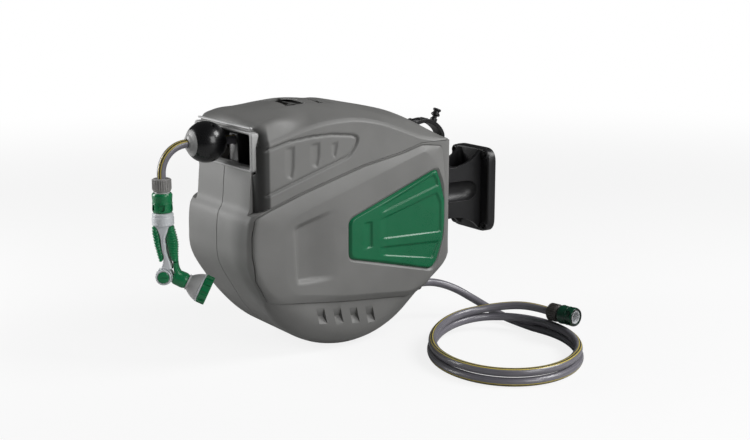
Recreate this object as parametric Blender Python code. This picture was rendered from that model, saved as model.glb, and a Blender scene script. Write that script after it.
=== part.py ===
"""Retractable garden hose reel on a swivelling wall bracket, for Blender 4.5.

Metres, +Z up. The origin is the middle of the wall plate's back face: the wall is the plane y = 0,
the reel stands out towards -Y and its drum turns about an axis along X. The reel's middle plane is
x = 0. Each moving body has an empty on its joint's axis, and the pieces hang from those empties.
"""
import math

import bmesh
import bpy
from mathutils import Vector

# Clearances between pieces that touch, and between pieces that turn or slide
GAP = 0.0003
RUN = 0.0008

# Wall bracket and its hinge
PLATE_WIDTH = 0.120
PLATE_HEIGHT = 0.166
PLATE_THICK = 0.018
PLATE_CORNER = 0.014
HINGE_Y = -0.098
PIN_RADIUS = 0.006
KNUCKLE_RADIUS = 0.017
KNUCKLE_HALF = 0.050
LUG_HEIGHT = 0.032
LUG_PLATE_TOP = KNUCKLE_HALF + LUG_HEIGHT + 0.0065
ARM_HALF = 0.035
GUSSET_THICK = 0.007

# Drum: its axis stands this far below the bracket's middle
DRUM_Z = -0.040
AXLE_RADIUS = 0.010
FLANGE_RADIUS = 0.172
FLANGE_THICK = 0.0035
DRUM_HALF = 0.084
CORE_RADIUS = 0.070
CORE_WALL = 0.004
WINDING_RADIUS = 0.122

# Housing round the drum: rooms and walls, then the sizes that follow from them
FLANGE_ROOM = 0.023
HINGE_ROOM = 0.057
SLOT_MARGIN = 0.0075
PILLAR = 0.014
SIDE_STEP = 0.0035
PLATEAU = 0.009
WALL = 0.004
CORNER = 0.014
BOWL = 0.034
TRAY_HALF = 0.056
WINDOW_DEPTH = 0.0022
HOOK_DEPTH = 0.0014
HOOD_CORNER = 0.024
HOOD_WALL = 0.005
FRAME_RIM = 0.0100
BODY_RADIUS = FLANGE_RADIUS + FLANGE_ROOM + WALL
REAR_Y = HINGE_Y - HINGE_ROOM
DRUM_Y = REAR_Y - 1.08040 * BODY_RADIUS
FRONT_Y = DRUM_Y - 0.96231 * BODY_RADIUS
SLOT_HALF = DRUM_HALF + FLANGE_THICK + SLOT_MARGIN
BODY_HALF = SLOT_HALF + FRAME_RIM + PILLAR
SIDE_OUT = BODY_HALF + 0.030

# Hose slot in the front of the hood, and its frame
SLOT_HEIGHT = 0.056
FRAME_LIP = 0.0060
FRAME_PROUD = 0.0055
FRAME_DEPTH = 0.018
SLOT_LOW = DRUM_Z + 0.71859 * BODY_RADIUS
SLOT_HIGH = SLOT_LOW + SLOT_HEIGHT

# Gears on the left of the drum, ratchet on its right
GEAR_WIDTH = 0.008
GEAR_START = DRUM_HALF + FLANGE_THICK + 2 * GAP + 0.0005
GEAR_END = GEAR_START + GEAR_WIDTH
DRUM_TEETH = 36
IDLER_TEETH = 26
SCREW_TEETH = 10
IDLER_POST = 0.004
PAWL_POST = 0.003
RATCHET_TEETH = 24
RATCHET_RADIUS = 0.060
RATCHET_START = DRUM_HALF + FLANGE_THICK + 3 * GAP
RATCHET_WIDTH = 0.006
UNION_WIDTH = 0.0090
UNION_START = RATCHET_START + RATCHET_WIDTH + 0.0018

# Hose guide that shares the winding across the drum
SCREW_Y = FRONT_Y + 0.0565
SCREW_Z = SLOT_LOW - 0.0090
SCREW_RADIUS = 0.008
SHAFT_RADIUS = 0.0045
# The train from the drum to the screw is bent: its centre distances add up to more than the way
TRAIN_BEND = 1.03042
TRAIN_TEETH = DRUM_TEETH + 2 * IDLER_TEETH + SCREW_TEETH
GEAR_MODULE = 2 * TRAIN_BEND * math.hypot(SCREW_Y - DRUM_Y, SCREW_Z - DRUM_Z) / TRAIN_TEETH
SHAFT_LEFT = -SLOT_HALF - 0.0100
SHAFT_RIGHT = SLOT_HALF + 0.0040
ROD_Y = FRONT_Y + 0.0265
ROD_RADIUS = 0.005
ROLLER_RADIUS = 0.006
ROLLER_X = SLOT_HALF - ROLLER_RADIUS + 0.004
ROLLER_Y = FRONT_Y + 0.0235

# Hose, its stop ball and the couplings. The ball's seat is its radius where it meets the frame
HOSE = 0.015
BALL_RADIUS = 0.036
BALL_SEAT = 0.0183
BALL_Y = FRONT_Y - FRAME_PROUD - math.sqrt(BALL_RADIUS**2 - BALL_SEAT**2)
HOSE_Z = SLOT_HIGH - BALL_SEAT - 0.0007
BEND_RADIUS = 0.048
BEND_START = BALL_RADIUS + 0.0012
NUT_TOP = HOSE_Z - BEND_RADIUS - 0.0070
NUT_RADIUS = 0.0165
NUT_LENGTH = 0.022
NUT_DEPTH = 0.0058
COLLAR_RADIUS = 0.0175
COLLAR_LENGTH = 0.034
COLLAR_TRAVEL = 0.0022
COLLAR_START = NUT_DEPTH + COLLAR_TRAVEL + 2 * GAP

# Loose inlet hose: height of the surface that it lies on, and its oval coil
SURFACE_Z = DRUM_Z - BODY_RADIUS - 0.0010
GLAND_X = 0.045
GLAND_Z = DRUM_Z - 0.62814 * BODY_RADIUS
GLAND_LENGTH = 0.050
PIPE = 0.009
GLAND_START = DRUM_Y + 0.72864 * BODY_RADIUS
COIL_X = BODY_HALF + 0.184
COIL_Y = -0.175
COIL_LONG = 0.166
COIL_SHORT = 0.130
COIL_HEADING = math.radians(145.5)
COIL_START = math.radians(40)
COIL_END = math.radians(765)
COIL_RISE = HOSE + 0.0009
LOOP_POINTS = 24

# Spray gun, in its own frame: x towards the spray head, z up the handle
GUN_HEADING = math.radians(55.5)
HEAD_DROP = math.radians(25)
GRIP_LENGTH = 0.066
KNOB_RADIUS = 0.0135
BELL_RADIUS = 0.0250
DIAL_RADIUS = 0.0255
DIAL_LENGTH = 0.015


def clear_scene():
    for obj in list(bpy.data.objects):
        bpy.data.objects.remove(obj, do_unlink=True)


def material(name, colour, roughness, metallic=0.0):
    made = bpy.data.materials.new(name)
    made.use_nodes = True
    shader = made.node_tree.nodes["Principled BSDF"]
    shader.inputs["Base Color"].default_value = (*colour, 1.0)
    shader.inputs["Roughness"].default_value = roughness
    shader.inputs["Metallic"].default_value = metallic
    made.diffuse_color = (*colour, 1.0)
    return made


clear_scene()
GREY = material("housing_grey", (0.205, 0.205, 0.200), 0.45)
DARK_GREY = material("hood_grey", (0.150, 0.150, 0.146), 0.45)
LIGHT_GREY = material("light_grey_plastic", (0.36, 0.36, 0.36), 0.42)
BLACK = material("black_plastic", (0.016, 0.016, 0.018), 0.40)
GREEN = material("green_plastic", (0.008, 0.150, 0.072), 0.38)
DEEP_GREEN = material("deep_green_plastic", (0.004, 0.052, 0.026), 0.36)
PALE = material("pale_plastic", (0.62, 0.64, 0.65), 0.35)
NATURAL = material("natural_acetal", (0.70, 0.69, 0.64), 0.40)
STEEL = material("plated_steel", (0.56, 0.57, 0.58), 0.30, 1.0)
SPRING_STEEL = material("spring_steel", (0.26, 0.27, 0.30), 0.35, 1.0)
HOSE_GREY = material("hose_grey", (0.235, 0.225, 0.250), 0.42)

origins = {}


def joint_empty(name, parent, at, heading=0.0):
    """An empty on a joint's axis. A turned one carries pieces that are given in its own frame."""
    empty = bpy.data.objects.new(name, None)
    empty.empty_display_size = 0.03
    bpy.context.scene.collection.objects.link(empty)
    place(empty, parent, at)
    empty.rotation_euler.z = heading
    origins[empty.name] = Vector(at) if heading == 0.0 else Vector((0, 0, 0))
    return empty


def place(obj, parent, at, turn=(0.0, 0.0, 0.0)):
    obj.parent = parent
    obj.location = Vector(at) - (origins[parent.name] if parent else Vector((0, 0, 0)))
    obj.rotation_euler = turn


def mesh_object(name, bm, finish, parent, at=(0, 0, 0), turn=(0.0, 0.0, 0.0), sharp=32):
    bmesh.ops.recalc_face_normals(bm, faces=bm.faces)
    mesh = bpy.data.meshes.new(name)
    bm.to_mesh(mesh)
    bm.free()
    mesh.shade_smooth()
    mesh.set_sharp_from_angle(angle=math.radians(sharp))
    mesh.materials.append(finish)
    obj = bpy.data.objects.new(name, mesh)
    bpy.context.scene.collection.objects.link(obj)
    place(obj, parent, at, turn)
    return obj


def loft(rings, cyclic=False):
    """Joins rings of equal length with quads. A cyclic loft closes on itself, others get end caps."""
    bm = bmesh.new()
    rows = [[bm.verts.new(point) for point in ring] for ring in rings]
    pairs = list(zip(rows, rows[1:] + rows[:1])) if cyclic else list(zip(rows, rows[1:]))
    for a, b in pairs:
        for i in range(len(a)):
            j = (i + 1) % len(a)
            bm.faces.new((a[i], a[j], b[j], b[i]))
    if not cyclic:
        bm.faces.new(rows[0])
        bm.faces.new(rows[-1])
    return bm


def flat_faced(bm):
    """Triangles in place of a curved skin's quads, which aren't flat, so that cuts through it are clean."""
    bmesh.ops.triangulate(bm, faces=bm.faces)
    return bm


def along_x(outline, low, high):
    """A prism of a (y, z) outline between two x."""
    return loft([[(x, y, z) for y, z in outline] for x in (low, high)])


def along_z(outline, low, high):
    """A prism of an (x, y) outline between two z."""
    return loft([[(x, y, z) for x, y in outline] for z in (low, high)])


def box(low, high):
    (x0, y0, z0), (x1, y1, z1) = low, high
    return along_z([(x0, y0), (x1, y0), (x1, y1), (x0, y1)], z0, z1)


def turned(profile, segments=24):
    """A turned solid about Z from a closed profile of (radius, height)."""
    rings = []
    for i in range(segments):
        a = 2 * math.pi * i / segments
        rings.append([(r * math.cos(a), r * math.sin(a), h) for r, h in profile])
    bm = loft(rings, cyclic=True)
    bmesh.ops.remove_doubles(bm, verts=bm.verts, dist=1e-6)
    loose = [edge for edge in bm.edges if not edge.link_faces]
    bmesh.ops.delete(bm, geom=loose, context="EDGES")
    return bm


def arc(centre, radius, first, last, steps):
    """Points on a circle between two angles in degrees."""
    angles = [math.radians(first + (last - first) * i / steps) for i in range(steps + 1)]
    return [(centre[0] + radius * math.cos(a), centre[1] + radius * math.sin(a)) for a in angles]


def rounded_box(half_u, low, high, radius, steps=3):
    """A rectangle with round corners, centred on u = 0, between two heights."""
    corners = (
        ((half_u - radius, high - radius), 0),
        ((radius - half_u, high - radius), 90),
        ((radius - half_u, low + radius), 180),
        ((half_u - radius, low + radius), 270),
    )
    points = []
    for centre, first in corners:
        points += arc(centre, radius, first, first + 90, steps)
    return points


def stroke(points, width):
    """The outline of a bar of even width that follows a few points in a plane."""
    sides = ([], [])
    for i, point in enumerate(points):
        here = Vector(point)
        before = (here - Vector(points[i - 1])).normalized() if i else None
        after = (Vector(points[i + 1]) - here).normalized() if i + 1 < len(points) else None
        run = ((before or after) + (after or before)).normalized()
        normal = Vector((-run.y, run.x))
        reach = width / 2 / max(0.5, normal.dot(Vector((-(after or before).y, (after or before).x))))
        sides[0].append(tuple(here + normal * reach))
        sides[1].append(tuple(here - normal * reach))
    return sides[0] + sides[1][::-1]


def toothed(teeth, root, tip, root_share=0.62, tip_share=0.26, lean=0.0, turn=0.0):
    """A gear outline. The shares are parts of the pitch that a tooth takes at its root and tip."""
    points = []
    pitch = 2 * math.pi / teeth
    for i in range(teeth):
        middle = pitch * i + turn
        for radius, share, side in (
            (root, root_share, -1), (tip, tip_share, -1), (tip, tip_share, 1), (root, root_share, 1)
        ):
            a = middle + side * share * pitch / 2 + (lean * pitch if radius == tip else 0.0)
            points.append((radius * math.cos(a), radius * math.sin(a)))
    return points


def helper(obj):
    obj.hide_render = True
    obj.display_type = "WIRE"
    return obj


def boolean(target, other, operation="DIFFERENCE"):
    modifier = target.modifiers.new(other.name, "BOOLEAN")
    modifier.operation = operation
    modifier.object = helper(other)


def smooth_route(points, spacing):
    """Points every so often along a smooth curve through the given ones (Catmull-Rom)."""
    knots = [Vector(p) for p in points]
    knots = [2 * knots[0] - knots[1]] + knots + [2 * knots[-1] - knots[-2]]
    made = [knots[1]]
    for a, b, c, d in zip(knots, knots[1:], knots[2:], knots[3:]):
        steps = max(1, round((c - b).length / spacing))
        for i in range(1, steps + 1):
            t = i / steps
            made.append(0.5 * (2 * b + (c - a) * t + (2 * a - 5 * b + 4 * c - d) * t * t
                               + (3 * b - a - 3 * c + d) * t * t * t))
    return made


def tube(name, points, diameter, finish, parent, resolution=2):
    curve = bpy.data.curves.new(name, "CURVE")
    curve.dimensions = "3D"
    curve.bevel_depth = diameter / 2
    curve.bevel_resolution = resolution
    curve.use_fill_caps = True
    spline = curve.splines.new("POLY")
    spline.points.add(len(points) - 1)
    for slot, point in zip(spline.points, points):
        slot.co = (*point, 1.0)
    curve.materials.append(finish)
    obj = bpy.data.objects.new(name, curve)
    bpy.context.scene.collection.objects.link(obj)
    place(obj, parent, (0, 0, 0))
    return obj


ALONG_X = (0.0, math.radians(90), 0.0)
ALONG_Y = (math.radians(-90), 0.0, 0.0)
ALONG_MINUS_Y = (math.radians(90), 0.0, 0.0)

# Wall bracket


def wall_bracket(root):
    """Plate, two flared gussets and the solid end that carries the pin, moulded in one."""
    face = -PLATE_THICK
    end = HINGE_Y - KNUCKLE_RADIUS
    high, low = KNUCKLE_HALF - GAP, GAP - KNUCKLE_HALF
    flare = PLATE_HEIGHT / 2 - 0.004
    profile = [
        (face + 0.004, flare), (face - 0.008, flare - 0.009), (face - 0.024, high + 0.013),
        (face - 0.045, high + 0.003), (HINGE_Y + KNUCKLE_RADIUS + 0.002, high), (end, high),
        (end, low), (HINGE_Y + KNUCKLE_RADIUS + 0.002, low), (face - 0.050, low - 0.001),
        (face - 0.028, low - 0.008), (face - 0.010, low - 0.018), (face + 0.004, 0.006 - flare),
    ]
    bracket = mesh_object("wall_bracket", along_x(profile, -ARM_HALF, ARM_HALF), BLACK, root)

    outline = rounded_box(PLATE_WIDTH / 2, -PLATE_HEIGHT / 2, PLATE_HEIGHT / 2, PLATE_CORNER)
    inner = rounded_box(
        PLATE_WIDTH / 2 - 0.004, 0.004 - PLATE_HEIGHT / 2, PLATE_HEIGHT / 2 - 0.004, PLATE_CORNER - 0.004
    )
    rings = [
        [(x, 0.0, z) for x, z in outline],
        [(x, face + 0.004, z) for x, z in outline],
        [(x, face, z) for x, z in inner],
    ]
    boolean(bracket, mesh_object("plate_form", loft(rings), BLACK, root), "UNION")

    for sign in (1, -1):
        floor = 0.025 * sign
        channel = box(
            (GUSSET_THICK - ARM_HALF, HINGE_Y + KNUCKLE_RADIUS + 0.004, min(floor, floor * 5)),
            (ARM_HALF - GUSSET_THICK, face, max(floor, floor * 5)),
        )
        boolean(bracket, mesh_object(f"gusset_channel_{sign}", channel, BLACK, root))
        trough = turned([
            (0.0, 0.0), (0.021, 0.0), (0.021, 0.070), (0.017, 0.081), (0.009, 0.088), (0.0, 0.090)
        ], 12)
        at = (sign * (ARM_HALF + 0.012), face - 0.096, 0.002)
        boolean(bracket, mesh_object(f"side_trough_{sign}", trough, BLACK, root, at, ALONG_Y))
    for x in (-1, 1):
        for z in (-1, 1):
            at = (x * (PLATE_WIDTH / 2 - 0.013), face - 0.002, z * (PLATE_HEIGHT / 2 - 0.013))
            boss = turned([(0.0, 0.0), (0.0095, 0.0), (0.0095, 0.006), (0.0, 0.006)], 12)
            boolean(bracket, mesh_object(f"boss_{x}_{z}", boss, BLACK, root, at, ALONG_Y), "UNION")
            hole = turned([
                (0.0, -0.002), (0.0065, -0.002), (0.0065, 0.003), (0.0030, 0.006), (0.0030, 0.030),
                (0.0, 0.030),
            ], 10)
            boolean(bracket, mesh_object(f"screw_hole_{x}_{z}", hole, BLACK, root, at, ALONG_Y))
    bore = turned([(0.0, -0.08), (PIN_RADIUS + GAP, -0.08), (PIN_RADIUS + GAP, 0.08), (0.0, 0.08)], 16)
    boolean(bracket, mesh_object("bracket_bore", bore, BLACK, root, (0, HINGE_Y, 0)))


def hinge_pin(root):
    """Steel pin through the three knuckles, with a head on top and a riveted end below."""
    top = KNUCKLE_HALF + LUG_HEIGHT
    pin = turned([
        (0.0, -top - 0.0030), (0.0070, -top - 0.0030), (0.0088, -top - 0.0020), (0.0088, -top - GAP),
        (PIN_RADIUS, -top - GAP), (PIN_RADIUS, top + GAP), (0.0105, top + GAP),
        (0.0105, top + 0.0022), (0.0090, top + 0.0036), (0.0, top + 0.0036),
    ], 16)
    mesh_object("hinge_pin", pin, STEEL, root, (0, HINGE_Y, 0))


# Housing outlines in (y, z), given from the drum's axis in parts of the body's radius

CENTRE = (DRUM_Y, DRUM_Z)


def of_body(points):
    return [(DRUM_Y + y * BODY_RADIUS, DRUM_Z + z * BODY_RADIUS) for y, z in points]


BELLY = of_body([
    (-0.9623, 0.8794), (-1.0000, 0.3518), (-1.0251, 0.3116), (-1.0503, 0.2412), (-1.0653, 0.0503),
    (-1.0402, -0.1759),
])
BACK = of_body([
    (0.9347, -0.4774), (1.0779, -0.3015), (1.0804, 0.8794),
])
BODY = BELLY + arc(CENTRE, BODY_RADIUS, 208, 320, 11) + BACK

# The joint line between the shells and the hood, from the front tip to the rear
SEAM = [(FRONT_Y - 0.030, SLOT_LOW - 0.087)] + of_body([
    (-0.9975, 0.3266), (-0.9025, 0.3618), (-0.5477, 0.4824), (0.0854, 0.6633), (0.5075, 0.7437),
    (0.7337, 0.8075),
])
SEAM.append((REAR_Y + 0.040, SEAM[-1][1]))
# Raised side of each shell: its foot and the flat field on top, point for point
SIDE_FOOT = of_body([
    (-0.9849, 0.2965), (-0.9045, 0.3467), (-0.5477, 0.4673), (0.0854, 0.6482), (0.5075, 0.7286),
    (0.7337, 0.7915), (0.9548, 0.7538), (1.0050, 0.4523), (1.0050, -0.0503), (0.9447, -0.3015),
    (0.8040, -0.5427), (0.5879, -0.6131), (-0.1508, -0.5528), (-0.8040, -0.4824),
    (-0.9146, -0.4372), (-0.9648, -0.3467), (-1.0000, -0.2010), (-1.0302, -0.0101),
    (-1.0251, 0.1608),
])
SIDE_FIELD = of_body([
    (-0.6985, 0.2412), (-0.6633, 0.2613), (-0.4523, 0.3342), (0.0854, 0.5176), (0.5075, 0.6608),
    (0.7437, 0.7387), (0.8543, 0.6332), (0.9598, 0.4523), (0.9598, -0.0503), (0.8945, -0.2814),
    (0.7638, -0.4925), (0.5879, -0.5528), (-0.1508, -0.4874), (-0.6030, -0.4121),
    (-0.6683, -0.3819), (-0.7136, -0.3317), (-0.7312, -0.2513), (-0.7286, -0.0101),
    (-0.7261, 0.1809),
])
PANEL = of_body([
    (-0.0854, 0.1608), (-0.0704, 0.1910), (-0.0402, 0.2111), (0.8342, 0.5477), (0.8794, 0.5528),
    (0.9296, 0.4271), (0.9749, 0.2513), (0.9774, 0.0503), (0.9548, -0.1206), (0.8844, -0.3065),
    (0.8342, -0.3618), (0.7940, -0.3668), (-0.0503, -0.1658), (-0.0779, -0.1457),
    (-0.0854, -0.1106),
])


def inset(point, distance):
    """The point moved towards the drum's axis."""
    away = Vector(point) - Vector(CENTRE)
    return Vector(CENTRE) + away * (1 - distance / away.length)


def edge_radius(point):
    """How round the housing's side edge is: tight above, a wide bowl below."""
    share = min(1.0, max(0.0, ((DRUM_Z - point[1]) / BODY_RADIUS - 0.30) / 0.45))
    return CORNER + share * share * (3 - 2 * share) * BOWL


def body_rings(start, half, shrink, steps=3):
    """Sections of half the housing, from the given x out to its side face."""
    rings = [[(start, *inset(p, shrink)) for p in BODY]]
    for k in range(steps + 1):
        t = math.pi / 2 * k / steps
        ring = []
        for p in BODY:
            radius = edge_radius(p) - shrink
            y, z = inset(p, shrink + radius * (1 - math.cos(t)))
            ring.append((half - radius + radius * math.sin(t), y, z))
        rings.append(ring)
    return rings


def mirrored(rings, sign):
    return [[(sign * x, y, z) for x, y, z in ring] for ring in rings]


def side_sheet(outline, x):
    return [(x, y, z) for y, z in outline]


def grown(outline, distance):
    """The outline moved outwards by a distance, for a counter-clockwise or clockwise loop alike."""
    count = len(outline)
    area = sum(outline[i - 1][0] * outline[i][1] - outline[i][0] * outline[i - 1][1] for i in range(count))
    turn = 1 if area > 0 else -1
    made = []
    for i in range(count):
        before = (Vector(outline[i]) - Vector(outline[i - 1])).normalized()
        after = (Vector(outline[(i + 1) % count]) - Vector(outline[i])).normalized()
        first, second = Vector((before.y, -before.x)), Vector((after.y, -after.x))
        middle = (first + second).normalized()
        made.append(tuple(Vector(outline[i]) + turn * middle * distance / max(0.5, middle.dot(first))))
    return made


VENTS = of_body([(-0.3618, -0.6633), (-0.1884, -0.6859), (-0.0151, -0.7085), (0.1583, -0.7312)])
# Far ends of the cutters above and below the joint line
TOP_END = [(REAR_Y + 0.040, SLOT_HIGH + 0.041), (FRONT_Y - 0.030, SLOT_HIGH + 0.041)]
BOTTOM_END = [(REAR_Y + 0.040, DRUM_Z - 0.020), (FRONT_Y - 0.030, DRUM_Z - 0.020)]


def middle_seam(gap):
    """The joint line between the pillars, under the slot's frame and the roof."""
    under_frame = SLOT_LOW - FRAME_LIP - GAP
    behind = of_body([(-0.6533, 0.0), (0.0854, 0.7035), (0.7337, 0.8075)])
    line = [(FRONT_Y - 0.030, under_frame), (behind[0][0], under_frame), *behind[1:]]
    line.append((REAR_Y + 0.040, behind[-1][1]))
    return [(y, z + gap) for y, z in line]


def shell(name, sign, housing):
    """Half of the lower housing: a bowl with a raised side, split from the other half at x = 0."""
    outer = loft(mirrored(body_rings(GAP / 2, BODY_HALF, 0.0), sign))
    half = mesh_object(name, outer, GREY, housing)
    side_x = BODY_HALF + SIDE_STEP
    raised = [
        side_sheet(SIDE_FOOT, BODY_HALF - WALL - 0.001),
        side_sheet(SIDE_FOOT, side_x),
        side_sheet(SIDE_FIELD, BODY_HALF + PLATEAU),
    ]
    boolean(half, mesh_object(f"{name}_side", loft(mirrored(raised, sign)), GREY, housing), "UNION")
    hollow = loft(mirrored(body_rings(-0.010, BODY_HALF - WALL, WALL), sign))
    boolean(half, mesh_object(f"{name}_hollow", hollow, GREY, housing))

    pillar = SLOT_HALF + GAP
    above = SEAM + TOP_END
    rings = [side_sheet(above, pillar), side_sheet(above, SIDE_OUT)]
    boolean(half, mesh_object(f"{name}_seam", loft(mirrored(rings, sign)), GREY, housing))
    middle = middle_seam(0.0) + TOP_END
    boolean(half, mesh_object(
        f"{name}_top", loft(mirrored([side_sheet(middle, -0.01), side_sheet(middle, pillar + 0.001)], sign)),
        GREY, housing
    ))

    scoop_out = of_body([(-0.6030, 0.2010), (-0.1508, 0.3518), (-0.1508, -0.3266), (-0.6131, -0.3417)])
    scoop_in = of_body([(-0.5628, 0.1658), (-0.2261, 0.2864), (-0.2261, -0.2513), (-0.5678, -0.2814)])
    floors = (0.0045, -0.0005, -0.0005, 0.0045)
    outside = [(BODY_HALF + PLATEAU + 0.0010, y, z) for y, z in scoop_out]
    inside = [(BODY_HALF + PLATEAU - deep, y, z) for (y, z), deep in zip(scoop_in, floors)]
    boolean(half, mesh_object(
        f"{name}_scoop", loft(mirrored([outside, inside], sign)), GREY, housing
    ))
    pocket = grown(PANEL, GAP)
    pocket_rings = [side_sheet(pocket, side_x - 0.0005), side_sheet(pocket, SIDE_OUT)]
    boolean(half, mesh_object(f"{name}_pocket", loft(mirrored(pocket_rings, sign)), GREY, housing))
    for i, (y, z) in enumerate(VENTS):
        top, low = z + 0.012, z - 0.012
        vent = [(y - 0.008, top), (y + 0.008, top), (y + 0.012, low), (y - 0.003, low)]
        rings = [side_sheet(vent, BODY_HALF - 0.039), side_sheet(vent, SIDE_OUT)]
        boolean(half, mesh_object(f"{name}_vent_{i}", loft(mirrored(rings, sign)), GREY, housing))

    seat = turned([(0.0, 0.0), (0.024, 0.0), (0.024, 0.008), (0.0, 0.008)], 20)
    at = (sign * (BODY_HALF - WALL - 0.006), DRUM_Y, DRUM_Z)
    turn = (0.0, math.radians(90 * sign), 0.0)
    boolean(half, mesh_object(f"{name}_boss", seat, GREY, housing, at, turn), "UNION")
    bore = turned([(0.0, -0.01), (0.0163, -0.01), (0.0163, 0.0065), (0.0, 0.0065)], 16)
    boolean(half, mesh_object(f"{name}_bore", bore, GREY, housing, at, turn))
    axis, radius = (pawl_pivot(), PAWL_POST) if sign > 0 else (idler_centre(), IDLER_POST)
    wall_x = BODY_HALF - WALL
    tip, shoulder = GEAR_START - wall_x, GEAR_END + 0.0009 - wall_x
    post = turned([
        (0.0, tip), (radius, tip), (radius, shoulder), (radius + 0.003, shoulder),
        (radius + 0.003, 0.0010), (0.0, 0.0010),
    ], 12)
    boolean(half, mesh_object(
        f"{name}_post", post, GREY, housing, (sign * wall_x, *axis), turn
    ), "UNION")
    if sign > 0:
        hole = turned([(0.0, 0.0), (0.0123, 0.0), (0.0123, 0.12), (0.0, 0.12)], 16)
        boolean(half, mesh_object(
            f"{name}_inlet", hole, GREY, housing, (GLAND_X, GLAND_START - 0.035, GLAND_Z), ALONG_Y
        ))
    return half


# Roof of the hood, given like the outlines: y, crest z, shoulder z, how far the shoulder stands in
ROOF_SHAPE = [
    (-0.9623, 1.0653, 0.9548, 0.0201), (-0.9447, 1.0905, 0.9598, 0.0201),
    (-0.9070, 1.1256, 0.9698, 0.0251), (-0.8417, 1.1457, 0.9774, 0.0302),
    (-0.6784, 1.1859, 1.0101, 0.0402), (-0.5025, 1.2236, 1.0503, 0.0503),
    (-0.3266, 1.2437, 1.0829, 0.0553), (-0.1508, 1.2312, 1.0955, 0.0603),
    (0.0503, 1.2010, 1.0879, 0.0653), (0.3015, 1.1508, 1.0377, 0.0754),
    (0.5176, 1.1055, 0.9598, 0.0854), (0.7035, 1.0553, 0.8894, 0.0905),
    (0.8693, 0.9849, 0.8492, 0.0905), (0.9849, 0.9146, 0.8291, 0.0804),
    (1.0804, 0.8392, 0.8166, 0.0704),
]
ROOF = [
    (DRUM_Y + y * BODY_RADIUS, DRUM_Z + crest * BODY_RADIUS, DRUM_Z + shoulder * BODY_RADIUS,
     lean * BODY_RADIUS) for y, crest, shoulder, lean in ROOF_SHAPE
]


# Hook pockets in the hood's windows, given like the outlines: upper corner, foot, and width
HOOKS = (
    ((-0.5980, 0.8945), (-0.6106, 0.7085), 0.021),
    ((-0.3417, 0.8995), (-0.3543, 0.7337), 0.0175),
    ((-0.1608, 0.8995), (-0.1734, 0.7839), 0.0115),
)


def half_width(y):
    """Half width of the hood at a depth: round front corners, tighter rear ones."""
    front = y - FRONT_Y
    rear = REAR_Y - y
    if front < HOOD_CORNER:
        return BODY_HALF - HOOD_CORNER + math.sqrt(max(0.0, HOOD_CORNER**2 - (HOOD_CORNER - front) ** 2))
    if rear < CORNER:
        return BODY_HALF - CORNER + math.sqrt(max(0.0, CORNER**2 - (CORNER - rear) ** 2))
    return BODY_HALF


def hood_rings(shrink):
    """Arched sections of the hood along y, each from one lower edge over the crest to the other."""
    rings = []
    for i, (y, crest, shoulder, lean) in enumerate(ROOF):
        w = half_width(y) - shrink
        crest, shoulder = crest - shrink, shoulder - shrink
        rise = crest - shoulder
        side = [
            (w, DRUM_Z + 0.030), (w, shoulder - 0.034), (w - lean * 0.35, shoulder - 0.012),
            (w - lean, shoulder),
            (0.80 * w, shoulder + 0.32 * rise), (0.62 * w, shoulder + 0.62 * rise),
            (0.36 * w, shoulder + 0.88 * rise), (0.16 * w, shoulder + 0.98 * rise),
        ]
        if i == 0:
            y += shrink
        if i == len(ROOF) - 1:
            y -= shrink
        arch = side + [(0.0, crest)] + [(-x, z) for x, z in side[::-1]]
        rings.append([(x, y, z) for x, z in arch])
    return rings


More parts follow.
